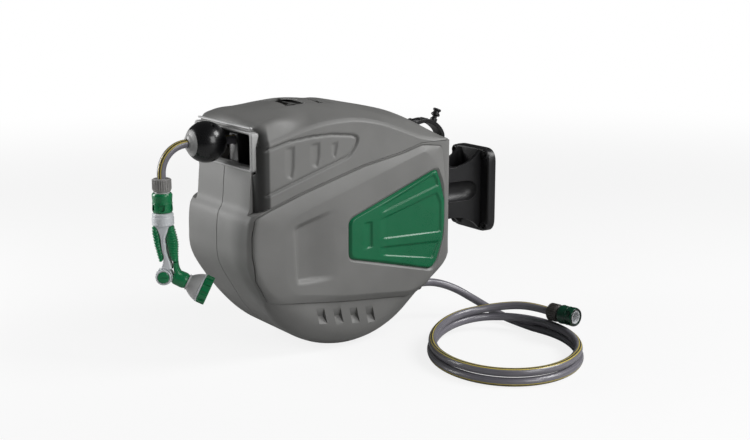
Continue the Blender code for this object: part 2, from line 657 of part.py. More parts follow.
def hood(housing):
    """The top cover: arched roof, corner pillars beside the slot, and a carry grip let into the roof."""
    cover = mesh_object("hood", flat_faced(loft(hood_rings(0.0))), DARK_GREY, housing)
    inner = hood_rings(HOOD_WALL)
    inner = [[(x, y, z - 0.020 if z < DRUM_Z + 0.040 else z) for x, y, z in ring] for ring in inner]
    boolean(cover, mesh_object("hood_hollow", flat_faced(loft(inner)), DARK_GREY, housing))
    below = [(y, z + 2 * GAP) for y, z in SEAM] + BOTTOM_END
    pillar = SLOT_HALF + 2 * GAP
    for sign in (1, -1):
        rings = mirrored([side_sheet(below, pillar), side_sheet(below, SIDE_OUT)], sign)
        boolean(cover, mesh_object(f"hood_seam_{sign}", loft(rings), DARK_GREY, housing))
    middle = middle_seam(2 * GAP) + BOTTOM_END
    between = along_x(middle, -pillar - 0.001, pillar + 0.001)
    boolean(cover, mesh_object("hood_middle", between, DARK_GREY, housing))
    mouth_half = SLOT_HALF + FRAME_RIM + GAP
    mouth = rounded_box(mouth_half, SLOT_LOW - FRAME_LIP - GAP - 0.004, SLOT_HIGH + FRAME_LIP + GAP, 0.008)
    rings = [[(x, y, z) for x, z in mouth] for y in (FRONT_Y - 0.02, FRONT_Y + FRAME_DEPTH + 0.03)]
    boolean(cover, mesh_object("hood_mouth", loft(rings), DARK_GREY, housing))

    brow_z = SLOT_HIGH + FRAME_LIP + 0.0050
    brow = along_x(
        [(FRONT_Y - 0.0030, brow_z), (FRONT_Y + 0.0060, brow_z - 0.0015), (FRONT_Y + 0.0060, brow_z + 0.0035),
         (FRONT_Y - 0.0010, brow_z + 0.0030)], -SLOT_HALF, SLOT_HALF
    )
    boolean(cover, mesh_object("hood_brow", brow, DARK_GREY, housing), "UNION")

    (front, low), (back, _) = of_body([(-0.5025, 1.0251), (-0.0201, 1.0251)])
    high = max(crest for _, crest, _, _ in ROOF) - HOOD_WALL - 0.0005
    tray = box((-TRAY_HALF, front, low), (TRAY_HALF, back, high))
    boolean(cover, mesh_object("hood_tray", tray, DARK_GREY, housing), "UNION")
    half = TRAY_HALF - 0.0030
    hand = box((-half, front + 0.0030, low + 0.0025), (half, back - 0.0030, high - 0.0020))
    boolean(cover, mesh_object("hood_hand_room", hand, DARK_GREY, housing))
    outer = TRAY_HALF - 0.0060
    inner = outer - 0.0040
    for name, near, far in (
        ("front", front + 0.0080, front + 0.0470), ("rear", back - 0.0220, back - 0.0100)
    ):
        half = [(inner, near), (outer, near + 0.004), (outer, far - 0.003), (inner, far)]
        gap = along_z(half + [(-x, y) for x, y in half[::-1]], high - 0.022, high + 0.028)
        boolean(cover, mesh_object(f"hood_grip_{name}", gap, DARK_GREY, housing))

    window = of_body([
        (-0.8392, 0.8844), (-0.6784, 0.9296), (-0.4523, 0.9548), (-0.2261, 0.9548),
        (-0.0101, 0.9447), (0.0402, 0.9146), (0.0302, 0.8442), (-0.0402, 0.7688), (-0.8392, 0.4925),
    ])
    floor = BODY_HALF - WINDOW_DEPTH
    for sign in (1, -1):
        rings = mirrored([side_sheet(window, floor), side_sheet(window, SIDE_OUT)], sign)
        boolean(cover, mesh_object(f"hood_window_{sign}", loft(rings), DARK_GREY, housing))
        for i, (top, foot, width) in enumerate(HOOKS):
            (y, high), (foot_y, low) = of_body([top, foot])
            hook = [(y - width, high), (y, high), (foot_y, low), (foot_y - 0.4 * width, low)]
            depths = (0.0002, HOOK_DEPTH, HOOK_DEPTH, 0.0004)
            deep = [(floor - depth, *point) for point, depth in zip(hook, depths)]
            rings = mirrored([deep, side_sheet(hook, SIDE_OUT)], sign)
            boolean(cover, mesh_object(f"hood_hook_{sign}_{i}", loft(rings), DARK_GREY, housing))


def slot_frame(housing):
    """Bezel of the hose slot: a rounded frame with a chamfered mouth that the stop ball seats on."""
    front = FRONT_Y - FRAME_PROUD
    back = front + FRAME_DEPTH
    loops = (
        (FRAME_RIM, FRAME_LIP, 0.0080, back), (FRAME_RIM, FRAME_LIP, 0.0080, front + 0.0015),
        (FRAME_RIM - 0.0015, FRAME_LIP - 0.0015, 0.0070, front), (0.0030, 0.0030, 0.0060, front),
        (0.0, 0.0, 0.0045, front + 0.0045), (0.0, 0.0, 0.0045, back),
    )
    rings = []
    for rim, lip, radius, y in loops:
        outline = rounded_box(SLOT_HALF + rim, SLOT_LOW - lip, SLOT_HIGH + lip, radius, 3)
        rings.append([(x, y, z) for x, z in outline])
    mesh_object("slot_frame", loft(rings, cyclic=True), LIGHT_GREY, housing)


def side_panel(name, sign, housing):
    """Green panel let into the raised side, with its ribs. The maker's field is bare."""
    back = BODY_HALF + SIDE_STEP - 0.0005 + GAP
    front = BODY_HALF + PLATEAU + 0.0010
    inner = grown(PANEL, -0.0022)
    rings = [side_sheet(PANEL, back), side_sheet(PANEL, front - 0.0018), side_sheet(inner, front)]
    panel = mesh_object(name, loft(mirrored(rings, sign)), GREEN, housing)
    fields = (
        of_body([
            (0.3116, 0.3090), (0.8794, 0.5025), (0.9146, 0.4070), (0.3116, 0.2412),
        ]),
        of_body([
            (0.3116, 0.2010), (0.9196, 0.3618), (0.9523, 0.2111), (0.9548, -0.0201),
            (0.3116, -0.0201),
        ]),
        of_body([
            (0.3116, -0.0653), (0.9397, -0.0804), (0.9045, -0.2312), (0.3116, -0.1558),
        ]),
    )
    for i, field in enumerate(fields):
        rings = [side_sheet(grown(field, -0.0015), front - 0.0014), side_sheet(field, front + 0.001)]
        rings = mirrored(rings, sign)
        boolean(panel, mesh_object(f"{name}_field_{i}", loft(rings), GREEN, housing))
    corner = of_body([(0.0704, 0.1457), (0.1608, 0.1457), (0.1608, -0.0603), (0.0704, -0.0603)])
    corner = stroke(corner, 0.0036)
    rings = mirrored([side_sheet(corner, front - 0.0012), side_sheet(corner, front + 0.001)], sign)
    boolean(panel, mesh_object(f"{name}_corner", loft(rings), GREEN, housing))


def rear_hinge(housing):
    """Mounting plate on the housing's back with the reel's two hinge lugs."""
    plate_back = REAR_Y + GAP
    plate_front = plate_back + 0.006
    top = KNUCKLE_HALF + LUG_HEIGHT
    plate = rounded_box(0.040, -top - 0.0130, LUG_PLATE_TOP, 0.008)
    rings = [[(x, y, z) for x, z in plate] for y in (plate_back, plate_front)]
    hinge = mesh_object("rear_hinge", loft(rings), LIGHT_GREY, housing)
    web = [(-0.030, plate_front - 0.001)] + [
        (x, HINGE_Y + y) for x, y in arc((0, 0), KNUCKLE_RADIUS, 180, 0, 12)
    ] + [(0.030, plate_front - 0.001)]
    for name, low, high in (("upper", KNUCKLE_HALF + GAP, top), ("lower", -top, -KNUCKLE_HALF - GAP)):
        boolean(hinge, mesh_object(f"{name}_lug", along_z(web, low, high), LIGHT_GREY, housing), "UNION")
    bore = turned([(0.0, -0.12), (PIN_RADIUS + GAP, -0.12), (PIN_RADIUS + GAP, 0.12), (0.0, 0.12)], 16)
    boolean(hinge, mesh_object("lug_bore", bore, LIGHT_GREY, housing, (0, HINGE_Y, 0)))


def gun_holder(housing):
    """Black loop over the hinge with a plug on top, on which the gun is parked."""
    rear_top = ROOF[-1][1]
    path = [
        (REAR_Y - 0.0030, rear_top + 0.0130), (REAR_Y + 0.0190, rear_top + 0.0160),
        (REAR_Y + 0.0390, rear_top + 0.0100), (REAR_Y + 0.0540, rear_top - 0.0020),
        (REAR_Y + 0.0610, (rear_top + LUG_PLATE_TOP) / 2 + 0.0033),
        (REAR_Y + 0.0560, LUG_PLATE_TOP + 0.0105), (REAR_Y + 0.0370, LUG_PLATE_TOP + 0.0060),
        (REAR_Y + GAP, LUG_PLATE_TOP + 0.0045),
    ]
    loop = mesh_object("gun_holder", along_x(stroke(path, 0.0080), -0.013, 0.013), BLACK, housing)
    foot = box(
        (-0.0126, REAR_Y - 0.0130, (rear_top + LUG_PLATE_TOP) / 2 + 0.0023),
        (0.0126, REAR_Y + 0.0050, rear_top + 0.0190),
    )
    boolean(loop, mesh_object("holder_foot", foot, BLACK, housing), "UNION")
    roof = [(y, crest + GAP + 0.0002) for y, crest, _, _ in ROOF[-5:]]
    inside_z = rear_top - 0.0770
    under = [(roof[0][0], inside_z)] + roof[:-1] + [(REAR_Y + GAP, roof[-1][1]), (REAR_Y + GAP, inside_z)]
    boolean(loop, mesh_object("holder_seat", along_x(under, -0.02, 0.02), BLACK, housing))
    crown = [(REAR_Y + y, rear_top + z) for y, z in ((0.0040, 0.0182), (0.0190, 0.0203), (0.0310, 0.0170))]
    rib = along_x(stroke(crown, 0.0030), -0.003, 0.003)
    boolean(loop, mesh_object("holder_rib", rib, BLACK, housing), "UNION")
    plug = turned([
        (0.0, 0.0), (0.0070, 0.0), (0.0070, 0.0050), (0.0045, 0.0060), (0.0045, 0.0100),
        (0.0085, 0.0115), (0.0085, 0.0150), (0.0060, 0.0165), (0.0060, 0.0200), (0.0080, 0.0215),
        (0.0075, 0.0250), (0.0, 0.0250),
    ], 14)
    at = (0, REAR_Y + 0.0460, rear_top + 0.0125)
    mesh_object("parking_plug", plug, BLACK, housing, at, (math.radians(-24), 0, 0))


def inlet_gland(housing):
    """Gland nut through the right shell's back, where the inlet hose leaves."""
    bore = HOSE / 2 + 2 * GAP
    gland = turned([
        (bore, 0.0), (0.0120, 0.0), (0.0120, GLAND_LENGTH - 0.020), (0.0150, GLAND_LENGTH - 0.0197),
        (0.0150, GLAND_LENGTH - 0.010), (0.0120, GLAND_LENGTH), (bore, GLAND_LENGTH),
    ], 16)
    mesh_object("inlet_gland", gland, BLACK, housing, (GLAND_X, GLAND_START, GLAND_Z), ALONG_Y)


def inner_fixed(housing):
    """What stays still inside: axle, bearings, water union and pipe, guide rod, pivot pins."""
    reach = BODY_HALF - WALL
    axle = turned([(0.0, -reach), (AXLE_RADIUS, -reach), (AXLE_RADIUS, reach), (0.0, reach)], 16)
    mesh_object("drum_axle", axle, STEEL, housing, (0, DRUM_Y, DRUM_Z), ALONG_X)
    for name, sign in (("bearing_right", 1), ("bearing_left", -1)):
        bush = turned([
            (AXLE_RADIUS + GAP, 0.0), (0.0160, 0.0), (0.0160, 0.0057), (AXLE_RADIUS + GAP, 0.0057)
        ], 16)
        at = (sign * (BODY_HALF - WALL - 0.0055), DRUM_Y, DRUM_Z)
        mesh_object(name, bush, NATURAL, housing, at, (0.0, math.radians(90 * sign), 0.0))
    bore, rim = AXLE_RADIUS + GAP, 2 * AXLE_RADIUS
    union = turned([(bore, 0.0), (rim, 0.0), (rim, UNION_WIDTH), (bore, UNION_WIDTH)], 16)
    mesh_object("water_union", union, BLACK, housing, (UNION_START, DRUM_Y, DRUM_Z), ALONG_X)
    pipe_x = UNION_START + UNION_WIDTH / 2 + 0.0003
    crossing, falling, rising = of_body([(0.6467, -0.6291), (0.5930, -0.5678), (0.3920, -0.3668)])
    joining = (rim + 2 * GAP) * math.sqrt(0.5)
    pipe = smooth_route([
        (GLAND_X, GLAND_START - 2 * GAP, GLAND_Z), (GLAND_X + 0.003, GLAND_START - 0.0120, GLAND_Z),
        (GLAND_X + 0.015, *crossing), (pipe_x - 0.0110, *crossing), (pipe_x - 0.0020, *falling),
        (pipe_x, *rising), (pipe_x, DRUM_Y + joining, DRUM_Z - joining),
    ], 0.014)
    tube("inlet_pipe", pipe, PIPE, BLACK, housing)
    rod = turned([
        (0.0, SHAFT_LEFT), (ROD_RADIUS, SHAFT_LEFT), (ROD_RADIUS, SHAFT_RIGHT), (0.0, SHAFT_RIGHT)
    ], 12)
    mesh_object("guide_rod", rod, STEEL, housing, (0, ROD_Y, SCREW_Z), ALONG_X)


def idler_centre():
    """Where the idler meshes with both the drum gear and the screw gear."""
    to_drum = GEAR_MODULE * (DRUM_TEETH + IDLER_TEETH) / 2 + RUN
    to_screw = GEAR_MODULE * (IDLER_TEETH + SCREW_TEETH) / 2 + RUN
    span = Vector((SCREW_Y - DRUM_Y, SCREW_Z - DRUM_Z))
    along = (to_drum**2 - to_screw**2 + span.length**2) / (2 * span.length)
    aside = math.sqrt(max(0.0, to_drum**2 - along**2))
    unit = span.normalized()
    return Vector(CENTRE) + unit * along - Vector((unit.y, -unit.x)) * aside


def spur_gear(name, teeth, bore, finish, parent, centre, turn=0.0):
    """A spur gear about X on the left of the drum. Its teeth are slimmer than half a pitch."""
    pitch_radius = GEAR_MODULE * teeth / 2
    outline = toothed(teeth, pitch_radius - 1.05 * GEAR_MODULE, pitch_radius + 0.80 * GEAR_MODULE, turn=turn)
    wheel = along_z(outline, 0.0, GEAR_WIDTH)
    at = (-GEAR_END, *centre)
    gear = mesh_object(name, wheel, finish, parent, at, ALONG_X, sharp=20)
    hole = turned([(0.0, -0.01), (bore, -0.01), (bore, 0.02), (0.0, 0.02)], 12)
    boolean(gear, mesh_object(f"{name}_bore", hole, finish, parent, at, ALONG_X))


def drum(carrier):
    """The hose drum: core, two flanges, the winding, and the gear and ratchet on its ends."""
    at = (0, DRUM_Y, DRUM_Z)
    core = turned([
        (CORE_RADIUS - CORE_WALL, -DRUM_HALF), (CORE_RADIUS, -DRUM_HALF),
        (CORE_RADIUS, DRUM_HALF), (CORE_RADIUS - CORE_WALL, DRUM_HALF),
    ], 24)
    mesh_object("drum_core", core, BLACK, carrier, at, ALONG_X)
    hub = AXLE_RADIUS + RUN
    for name, sign in (("flange_right", 1), ("flange_left", -1)):
        flange = turned([
            (hub, -0.012), (hub + 0.006, -0.012), (hub + 0.006, 0.0), (FLANGE_RADIUS - 0.004, 0.0),
            (FLANGE_RADIUS, 0.0012), (FLANGE_RADIUS, FLANGE_THICK), (hub, FLANGE_THICK),
        ], 28)
        start = (sign * (DRUM_HALF + GAP), DRUM_Y, DRUM_Z)
        mesh_object(name, flange, BLACK, carrier, start, (0.0, math.radians(90 * sign), 0.0))
    winding = turned([
        (CORE_RADIUS + 0.0012, GAP - DRUM_HALF), (WINDING_RADIUS - 0.005, GAP - DRUM_HALF),
        (WINDING_RADIUS, 0.006 - DRUM_HALF), (WINDING_RADIUS, DRUM_HALF - 0.006),
        (WINDING_RADIUS - 0.005, DRUM_HALF - GAP), (CORE_RADIUS + 0.0012, DRUM_HALF - GAP),
    ], 24)
    mesh_object("hose_winding", winding, HOSE_GREY, carrier, at, ALONG_X)

    case_half = 0.020
    case_out = CORE_RADIUS - CORE_WALL - GAP
    case = turned([
        (hub, -case_half), (case_out, -case_half), (case_out, case_half), (case_out - 0.002, case_half),
        (case_out - 0.002, 0.002 - case_half), (hub, 0.002 - case_half),
    ], 24)
    mesh_object("spring_case", case, BLACK, carrier, (0.03, DRUM_Y, DRUM_Z), ALONG_X)
    power_spring(carrier, case_out - 0.0035)

    spur_gear("drum_gear", DRUM_TEETH, 0.040, NATURAL, carrier, (DRUM_Y, DRUM_Z))
    teeth = toothed(RATCHET_TEETH, RATCHET_RADIUS - 0.005, RATCHET_RADIUS, 0.92, 0.20, lean=0.32)
    start = (RATCHET_START, DRUM_Y, DRUM_Z)
    wheel = along_z(teeth, 0.0, RATCHET_WIDTH)
    ratchet = mesh_object("ratchet_ring", wheel, BLACK, carrier, start, ALONG_X, sharp=20)
    hole = turned([(0.0, -0.01), (0.040, -0.01), (0.040, 0.02), (0.0, 0.02)], 16)
    boolean(ratchet, mesh_object("ratchet_bore", hole, BLACK, carrier, start, ALONG_X))


def power_spring(carrier, outer):
    """The flat spiral spring that winds the hose in, a strip on an even spiral round the axle."""
    turns, steps, strip = 5, 12, 0.0012
    inner = AXLE_RADIUS + 0.004
    bm = bmesh.new()
    rows = []
    for i in range(turns * steps + 1):
        a = 2 * math.pi * i / steps
        r = inner + (outer - inner) * i / (turns * steps)
        rows.append([
            bm.verts.new((radius * math.cos(a), radius * math.sin(a), h))
            for radius, h in ((r, -0.012), (r + strip, -0.012), (r + strip, 0.012), (r, 0.012))
        ])
    for a, b in zip(rows, rows[1:]):
        for i in range(4):
            j = (i + 1) % 4
            bm.faces.new((a[i], a[j], b[j], b[i]))
    bm.faces.new(rows[0])
    bm.faces.new(rows[-1])
    print(f"power spring: {turns} turns, {1000 * ((outer - inner) / turns - strip):.1f} mm between turns")
    mesh_object("power_spring", bm, SPRING_STEEL, carrier, (0.03, DRUM_Y, DRUM_Z), ALONG_X)


def pawl_pivot():
    """The pawl's pin stands off the ratchet's rim, straight above the axle."""
    return Vector((DRUM_Y + 0.034, DRUM_Z + RATCHET_RADIUS + 0.020))


def pawl(lever):
    """A sprung pawl that drops into the ratchet and holds the length of hose that is out."""
    pivot = pawl_pivot()
    low = RATCHET_START
    tip = Vector((DRUM_Y - 0.006, DRUM_Z + RATCHET_RADIUS + 0.0008))
    outline = [
        (pivot.x + 0.0060, pivot.y - 0.0010), (pivot.x + 0.0040, pivot.y + 0.0055),
        (pivot.x - 0.0040, pivot.y + 0.0055), (tip.x + 0.0100, tip.y + 0.0110), (tip.x, tip.y + 0.0035),
        (tip.x, tip.y), (tip.x + 0.0090, tip.y + 0.0030), (pivot.x - 0.0030, pivot.y - 0.0065),
        (pivot.x + 0.0030, pivot.y - 0.0060),
    ]
    arm = mesh_object("pawl", along_x(outline, low, low + RATCHET_WIDTH - 0.0005), NATURAL, lever)
    hole = turned([(0.0, -0.02), (PAWL_POST + GAP, -0.02), (PAWL_POST + GAP, 0.02), (0.0, 0.02)], 12)
    boolean(arm, mesh_object("pawl_hole", hole, NATURAL, lever, (low, *pivot), ALONG_X))


def guide_screw(shaft):
    """Reversing screw that moves the hose guide, and its gear."""
    reach = DRUM_HALF + 0.002
    body = turned([
        (0.0, SHAFT_LEFT), (SHAFT_RADIUS, SHAFT_LEFT), (SHAFT_RADIUS, -reach), (SCREW_RADIUS, 0.002 - reach),
        (SCREW_RADIUS, reach - 0.002), (SHAFT_RADIUS, reach), (SHAFT_RADIUS, SHAFT_RIGHT), (0.0, SHAFT_RIGHT),
    ], 12)
    screw = mesh_object("guide_screw", body, STEEL, shaft, (0, SCREW_Y, SCREW_Z), ALONG_X)
    for i in range(5):
        x = (i - 2) * 0.36 * DRUM_HALF
        groove = turned([
            (SCREW_RADIUS - 0.0015, -0.0012), (SCREW_RADIUS + 0.002, -0.0040),
            (SCREW_RADIUS + 0.002, 0.0040), (SCREW_RADIUS - 0.0015, 0.0012),
        ], 12)
        tilt = (0.0, math.radians(90 + (14 if i % 2 else -14)), 0.0)
        boolean(screw, mesh_object(f"screw_groove_{i}", groove, STEEL, shaft, (x, SCREW_Y, SCREW_Z), tilt))


def slot_rollers(rollers):
    """Upright rollers at both ends of the slot, which keep the hose off the frame."""
    for name, sign in (("slot_roller_left", -1), ("slot_roller_right", 1)):
        half = SLOT_HEIGHT / 2
        profile = [(0.0, -half), (ROLLER_RADIUS - 0.001, -half)]
        for i in range(4):
            z = -half + 0.006 + i * (2 * half - 0.012) / 3
            profile += [(ROLLER_RADIUS, z - 0.003), (ROLLER_RADIUS, z + 0.003)]
            profile.append((ROLLER_RADIUS - 0.0012, z + 0.004))
        profile += [(ROLLER_RADIUS - 0.001, half), (0.0, half)]
        at = (sign * ROLLER_X, ROLLER_Y, (SLOT_LOW + SLOT_HIGH) / 2)
        mesh_object(name, turned(profile, 10), BLACK, rollers[sign], at)


def end_carriers(housing):
    """One carrier behind each end of the slot: it holds the roller, the guide rod and the screw."""
    for name, sign, plate_x in (("carrier_right", 1, SLOT_HALF), ("carrier_left", -1, GEAR_END + 0.0044)):
        x0, x1 = sorted((sign * (SLOT_HALF - 0.0100), sign * (SLOT_HALF + 0.0085)))
        y0, y1 = FRONT_Y - FRAME_PROUD + FRAME_DEPTH + GAP, FRONT_Y + 0.0315
        body = box((x0, y0, SLOT_LOW - 0.0035), (x1, y1, SLOT_HIGH + 0.0040))
        cheek = mesh_object(name, body, BLACK, housing)
        low, high = sorted((sign * (plate_x - 0.0025), sign * (plate_x + 0.0025)))
        plate = box((low, y0, SCREW_Z - 0.0120), (high, SCREW_Y + 0.0120, SCREW_Z + 0.0140))
        boolean(cheek, mesh_object(f"{name}_plate", plate, BLACK, housing), "UNION")
        low, high = sorted((sign * (SLOT_HALF - 0.0250), sign * (SLOT_HALF + 0.0060)))
        room = box((low, y0 - 0.01, SLOT_LOW - RUN), (high, y1, SLOT_HIGH + RUN))
        boolean(cheek, mesh_object(f"{name}_room", room, BLACK, housing))
        for which, y, radius in (("rod", ROD_Y, ROD_RADIUS + GAP), ("screw", SCREW_Y, SHAFT_RADIUS + RUN)):
            hole = turned([(0.0, -0.01), (radius, -0.01), (radius, 0.01), (0.0, 0.01)], 12)
            at = (sign * plate_x, y, SCREW_Z)
            boolean(cheek, mesh_object(f"{name}_{which}", hole, BLACK, housing, at, ALONG_X))


def guide(carriage):
    """Carriage on the rod and the screw, with the eye that the hose leaves through."""
    low = SCREW_Z - 0.0130
    outline = [
        (ROD_Y - 0.0095, low), (SCREW_Y + 0.0130, low), (SCREW_Y + 0.0130, SCREW_Z + 0.0120),
        (ROD_Y + 0.0130, HOSE_Z - 0.002), (ROD_Y + 0.0130, HOSE_Z + 0.0120),
        (ROD_Y - 0.0095, HOSE_Z + 0.0120),
    ]
    block = mesh_object("hose_guide", along_x(outline, -0.016, 0.016), NATURAL, carriage)
    for which, y, radius in (("rod", ROD_Y, ROD_RADIUS + RUN), ("screw", SCREW_Y, SCREW_RADIUS + RUN)):
        hole = turned([(0.0, -0.03), (radius, -0.03), (radius, 0.03), (0.0, 0.03)], 16)
        boolean(block, mesh_object(f"guide_{which}_bore", hole, NATURAL, carriage, (0, y, SCREW_Z), ALONG_X))
    eye = turned([
        (0.0, -0.01), (0.0110, -0.01), (0.0110, 0.0), (HOSE / 2 + GAP, 0.004), (HOSE / 2 + GAP, 0.06),
        (0.0, 0.06),
    ], 16)
    boolean(block, mesh_object(
        "guide_eye", eye, NATURAL, carriage, (0, ROD_Y - 0.0095, HOSE_Z), ALONG_Y
    ))


def hose_lengths(carriage):
    """The hose inside the hood, and the short free length outside that carries the gun."""
    touch = math.radians(70)
    clear = WINDING_RADIUS + HOSE / 2 + 0.0015
    last = Vector(CENTRE) + clear * Vector((math.cos(touch), math.sin(touch)))
    crest, slope = of_body([(-0.4271, 0.8543), (-0.1256, 0.7638)])
    inside = smooth_route([
        (0, BALL_Y + 0.0005, HOSE_Z), (0, BALL_Y + 0.020, HOSE_Z), (0, ROD_Y, HOSE_Z),
        (0, ROD_Y + 0.020, HOSE_Z),
        (0, *crest), (0, *slope), (0, *last),
    ], 0.035)
    tube("hose_run", inside, HOSE, HOSE_GREY, carriage)

    start = BALL_Y - BEND_START
    bend = arc((start, HOSE_Z - BEND_RADIUS), BEND_RADIUS, 90, 180, 7)
    points = [(0, BALL_Y - GAP / 2, HOSE_Z)] + [(0, y, z) for y, z in bend]
    points.append((0, start - BEND_RADIUS, NUT_TOP - 0.0150))
    tube("outlet_hose", points, HOSE, HOSE_GREY, carriage)


def stop_ball(carriage):
    """Stop ball in two halves clamped round the hose, with the pale nose on its free side."""
    bore = HOSE / 2 + GAP
    for name, low, high in (("ball_upper", GAP / 2, 0.1), ("ball_lower", -0.1, -GAP / 2)):
        profile = [(bore, 0.0325)]
        profile += [(r, h) for h, r in arc((0, 0), BALL_RADIUS, 24, 165, 9)]
        profile += [(bore, profile[-1][1])]
        ball = mesh_object(name, turned(profile, 24), BLACK, carriage, (0, BALL_Y, HOSE_Z), ALONG_MINUS_Y)
        keep = box((-0.05, BALL_Y - 0.05, HOSE_Z + low), (0.05, BALL_Y + 0.05, HOSE_Z + high))
        boolean(ball, mesh_object(f"{name}_half", keep, BLACK, carriage), "INTERSECT")
    nose = turned([
        (bore, 0.0328), (BALL_RADIUS * math.sin(math.radians(24)) - GAP, 0.0331), (0.0128, 0.0352),
        (0.0105, 0.0365), (bore, 0.0365),
    ], 20)
    mesh_object("ball_nose", nose, LIGHT_GREY, carriage, (0, BALL_Y, HOSE_Z), ALONG_MINUS_Y)


def coupling_nut(name, parent, at, turn):
    """Ribbed clamp nut of a quick coupling, from its hose side at the origin along +Z."""
    outline = toothed(12, NUT_RADIUS - 0.0010, NUT_RADIUS, 0.60, 0.42)
    rings = [
        [(x, y, 0.0) for x, y in outline],
        [(x, y, NUT_LENGTH - 0.0018) for x, y in outline],
        [(x * 0.93, y * 0.93, NUT_LENGTH) for x, y in outline],
    ]
    nut = mesh_object(name, loft(rings), LIGHT_GREY, parent, at, turn)
    step = NUT_LENGTH - NUT_DEPTH - 0.0006
    bore = turned([
        (0.0, -0.01), (HOSE / 2 + GAP, -0.01), (HOSE / 2 + GAP, step), (0.0104, step),
        (0.0104, NUT_LENGTH + 0.01), (0.0, NUT_LENGTH + 0.01),
    ], 16)
    boolean(nut, mesh_object(f"{name}_bore", bore, LIGHT_GREY, parent, at, turn))


def coupler_body(name, parent, at, turn, finish):
    """Inner sleeve of a quick coupling: stem in the nut, shoulder, and the socket for the plug."""
    body = turned([
        (0.0055, 0.0), (0.0100, 0.0), (0.0100, NUT_DEPTH + 0.0004), (0.0130, NUT_DEPTH + 0.0006),
        (0.0130, COLLAR_LENGTH + 0.0060),
        (0.0118, COLLAR_LENGTH + 0.0070), (0.0100, COLLAR_LENGTH + 0.0070), (0.0095, 0.0180),
        (0.0055, 0.0150),
    ], 16)
    mesh_object(name, body, finish, parent, at, turn)


def coupler_collar(name, parent, at, turn, finish):
    """Sliding collar of a quick coupling, waisted where the fingers take hold."""
    collar = turned([
        (0.0130 + RUN / 2, 0.0), (0.0160, 0.0), (COLLAR_RADIUS, 0.0025), (COLLAR_RADIUS - 0.0006, 0.0140),
        (COLLAR_RADIUS, 0.0280), (0.0162, COLLAR_LENGTH - 0.0008), (0.0130 + RUN / 2, COLLAR_LENGTH - 0.0008),
    ], 20)
    mesh_object(name, collar, finish, parent, at, turn)


def outlet_coupling(carriage, sleeve):
    """The quick coupling between the hose and the gun."""
    x, y = 0.0, BALL_Y - BEND_START - BEND_RADIUS
    down = (math.pi, 0.0, 0.0)
    coupling_nut("outlet_nut", carriage, (x, y, NUT_TOP), down)
    body_top = NUT_TOP - NUT_LENGTH + NUT_DEPTH
    coupler_body("outlet_coupler", carriage, (x, y, body_top), down, LIGHT_GREY)
    coupler_collar("outlet_collar", sleeve, (x, y, body_top - COLLAR_START), down, GREEN)
    return y, body_top


def inlet_route(entry):
    """The inlet hose from inside its gland down to the start of the coil, in parts of the way there."""
    leave = Vector((GLAND_X, GLAND_START + GLAND_LENGTH, GLAND_Z))
    way = entry - leave
    points = [leave - Vector((0, GLAND_LENGTH - 0.0010, 0)), leave - Vector((0, 0.0150, 0))]
    for x, y, z in (
        (0.0, 0.1351, 0.0074), (0.0135, 0.3556, 0.1037),
        (0.0808, 0.5690, 0.2963), (0.1994, 0.7468, 0.5630),
        (0.3611, 0.8748, 0.8000), (0.5659, 0.9388, 0.9481),
    ):
        points.append(leave + Vector((x * way.x, y * way.y, z * way.z)))
    return points


def coil_point(a):
    """A point of the loose oval coil. It climbs a layer in the third quarter of each turn."""
    long_way = Vector((math.cos(COIL_HEADING), math.sin(COIL_HEADING)))
    short_way = Vector((math.sin(COIL_HEADING), -math.cos(COIL_HEADING)))
    layer = 0.0
    for first, last, rise in ((250, 355, 1.0), (610, 715, 1.0), (700, 750, 0.66)):
        t = min(1.0, max(0.0, (math.degrees(a) - first) / (last - first)))
        layer += rise * t * t * (3 - 2 * t)
    drawn_in = 0.0022 * layer
    flat = Vector((COIL_X, COIL_Y)) + (COIL_LONG - drawn_in) * math.cos(a) * long_way
    flat += (COIL_SHORT - drawn_in) * math.sin(a) * short_way
    return Vector((flat.x, flat.y, SURFACE_Z + HOSE / 2 + COIL_RISE * layer))


def own_gap(points, apart):
    """Least distance between centrelines of stretches of one tube that are far apart along it."""
    run = [0.0]
    for a, b in zip(points, points[1:]):
        run.append(run[-1] + (b - a).length)
    least = 1.0
    for i, (p, q) in enumerate(zip(points, points[1:])):
        middle = (p + q) / 2
        for j in range(i + 1, len(points) - 1):
            if run[j] - run[i] < apart:
                continue
            a, b = points[j], points[j + 1]
            t = min(1.0, max(0.0, (middle - a).dot(b - a) / (b - a).length_squared))
            least = min(least, (middle - (a + (b - a) * t)).length)
    return least


def inlet_hose(housing):
    """The inlet hose: a free lead down from the gland, then two loose turns and its coupling."""
    steps = round((COIL_END - COIL_START) / (2 * math.pi) * LOOP_POINTS)
    turns = [coil_point(COIL_START + (COIL_END - COIL_START) * i / steps) for i in range(steps + 1)]
    leave = (turns[-1] - turns[-2]).normalized()
    enter = (turns[1] - turns[0]).normalized()
    entry = turns[0] - enter * HOSE
    lead = smooth_route(inlet_route(entry) + [entry - enter * HOSE, entry], 0.030)
    tube("inlet_lead", lead, HOSE, HOSE_GREY, housing)
    coil = [entry + enter * GAP] + turns + [turns[-1] + leave * HOSE * 1.6]
    tube("inlet_coil", coil, HOSE, HOSE_GREY, housing, resolution=1)
    lead_length = sum((b - a).length for a, b in zip(lead, lead[1:]))
    coil_length = sum((b - a).length for a, b in zip(coil, coil[1:]))
    gap = own_gap(coil, 0.10) - HOSE
    print(f"inlet hose: lead {lead_length:.3f} m, coil {coil_length:.3f} m, least gap {1000 * gap:.2f} mm")
    return coil[-1], leave


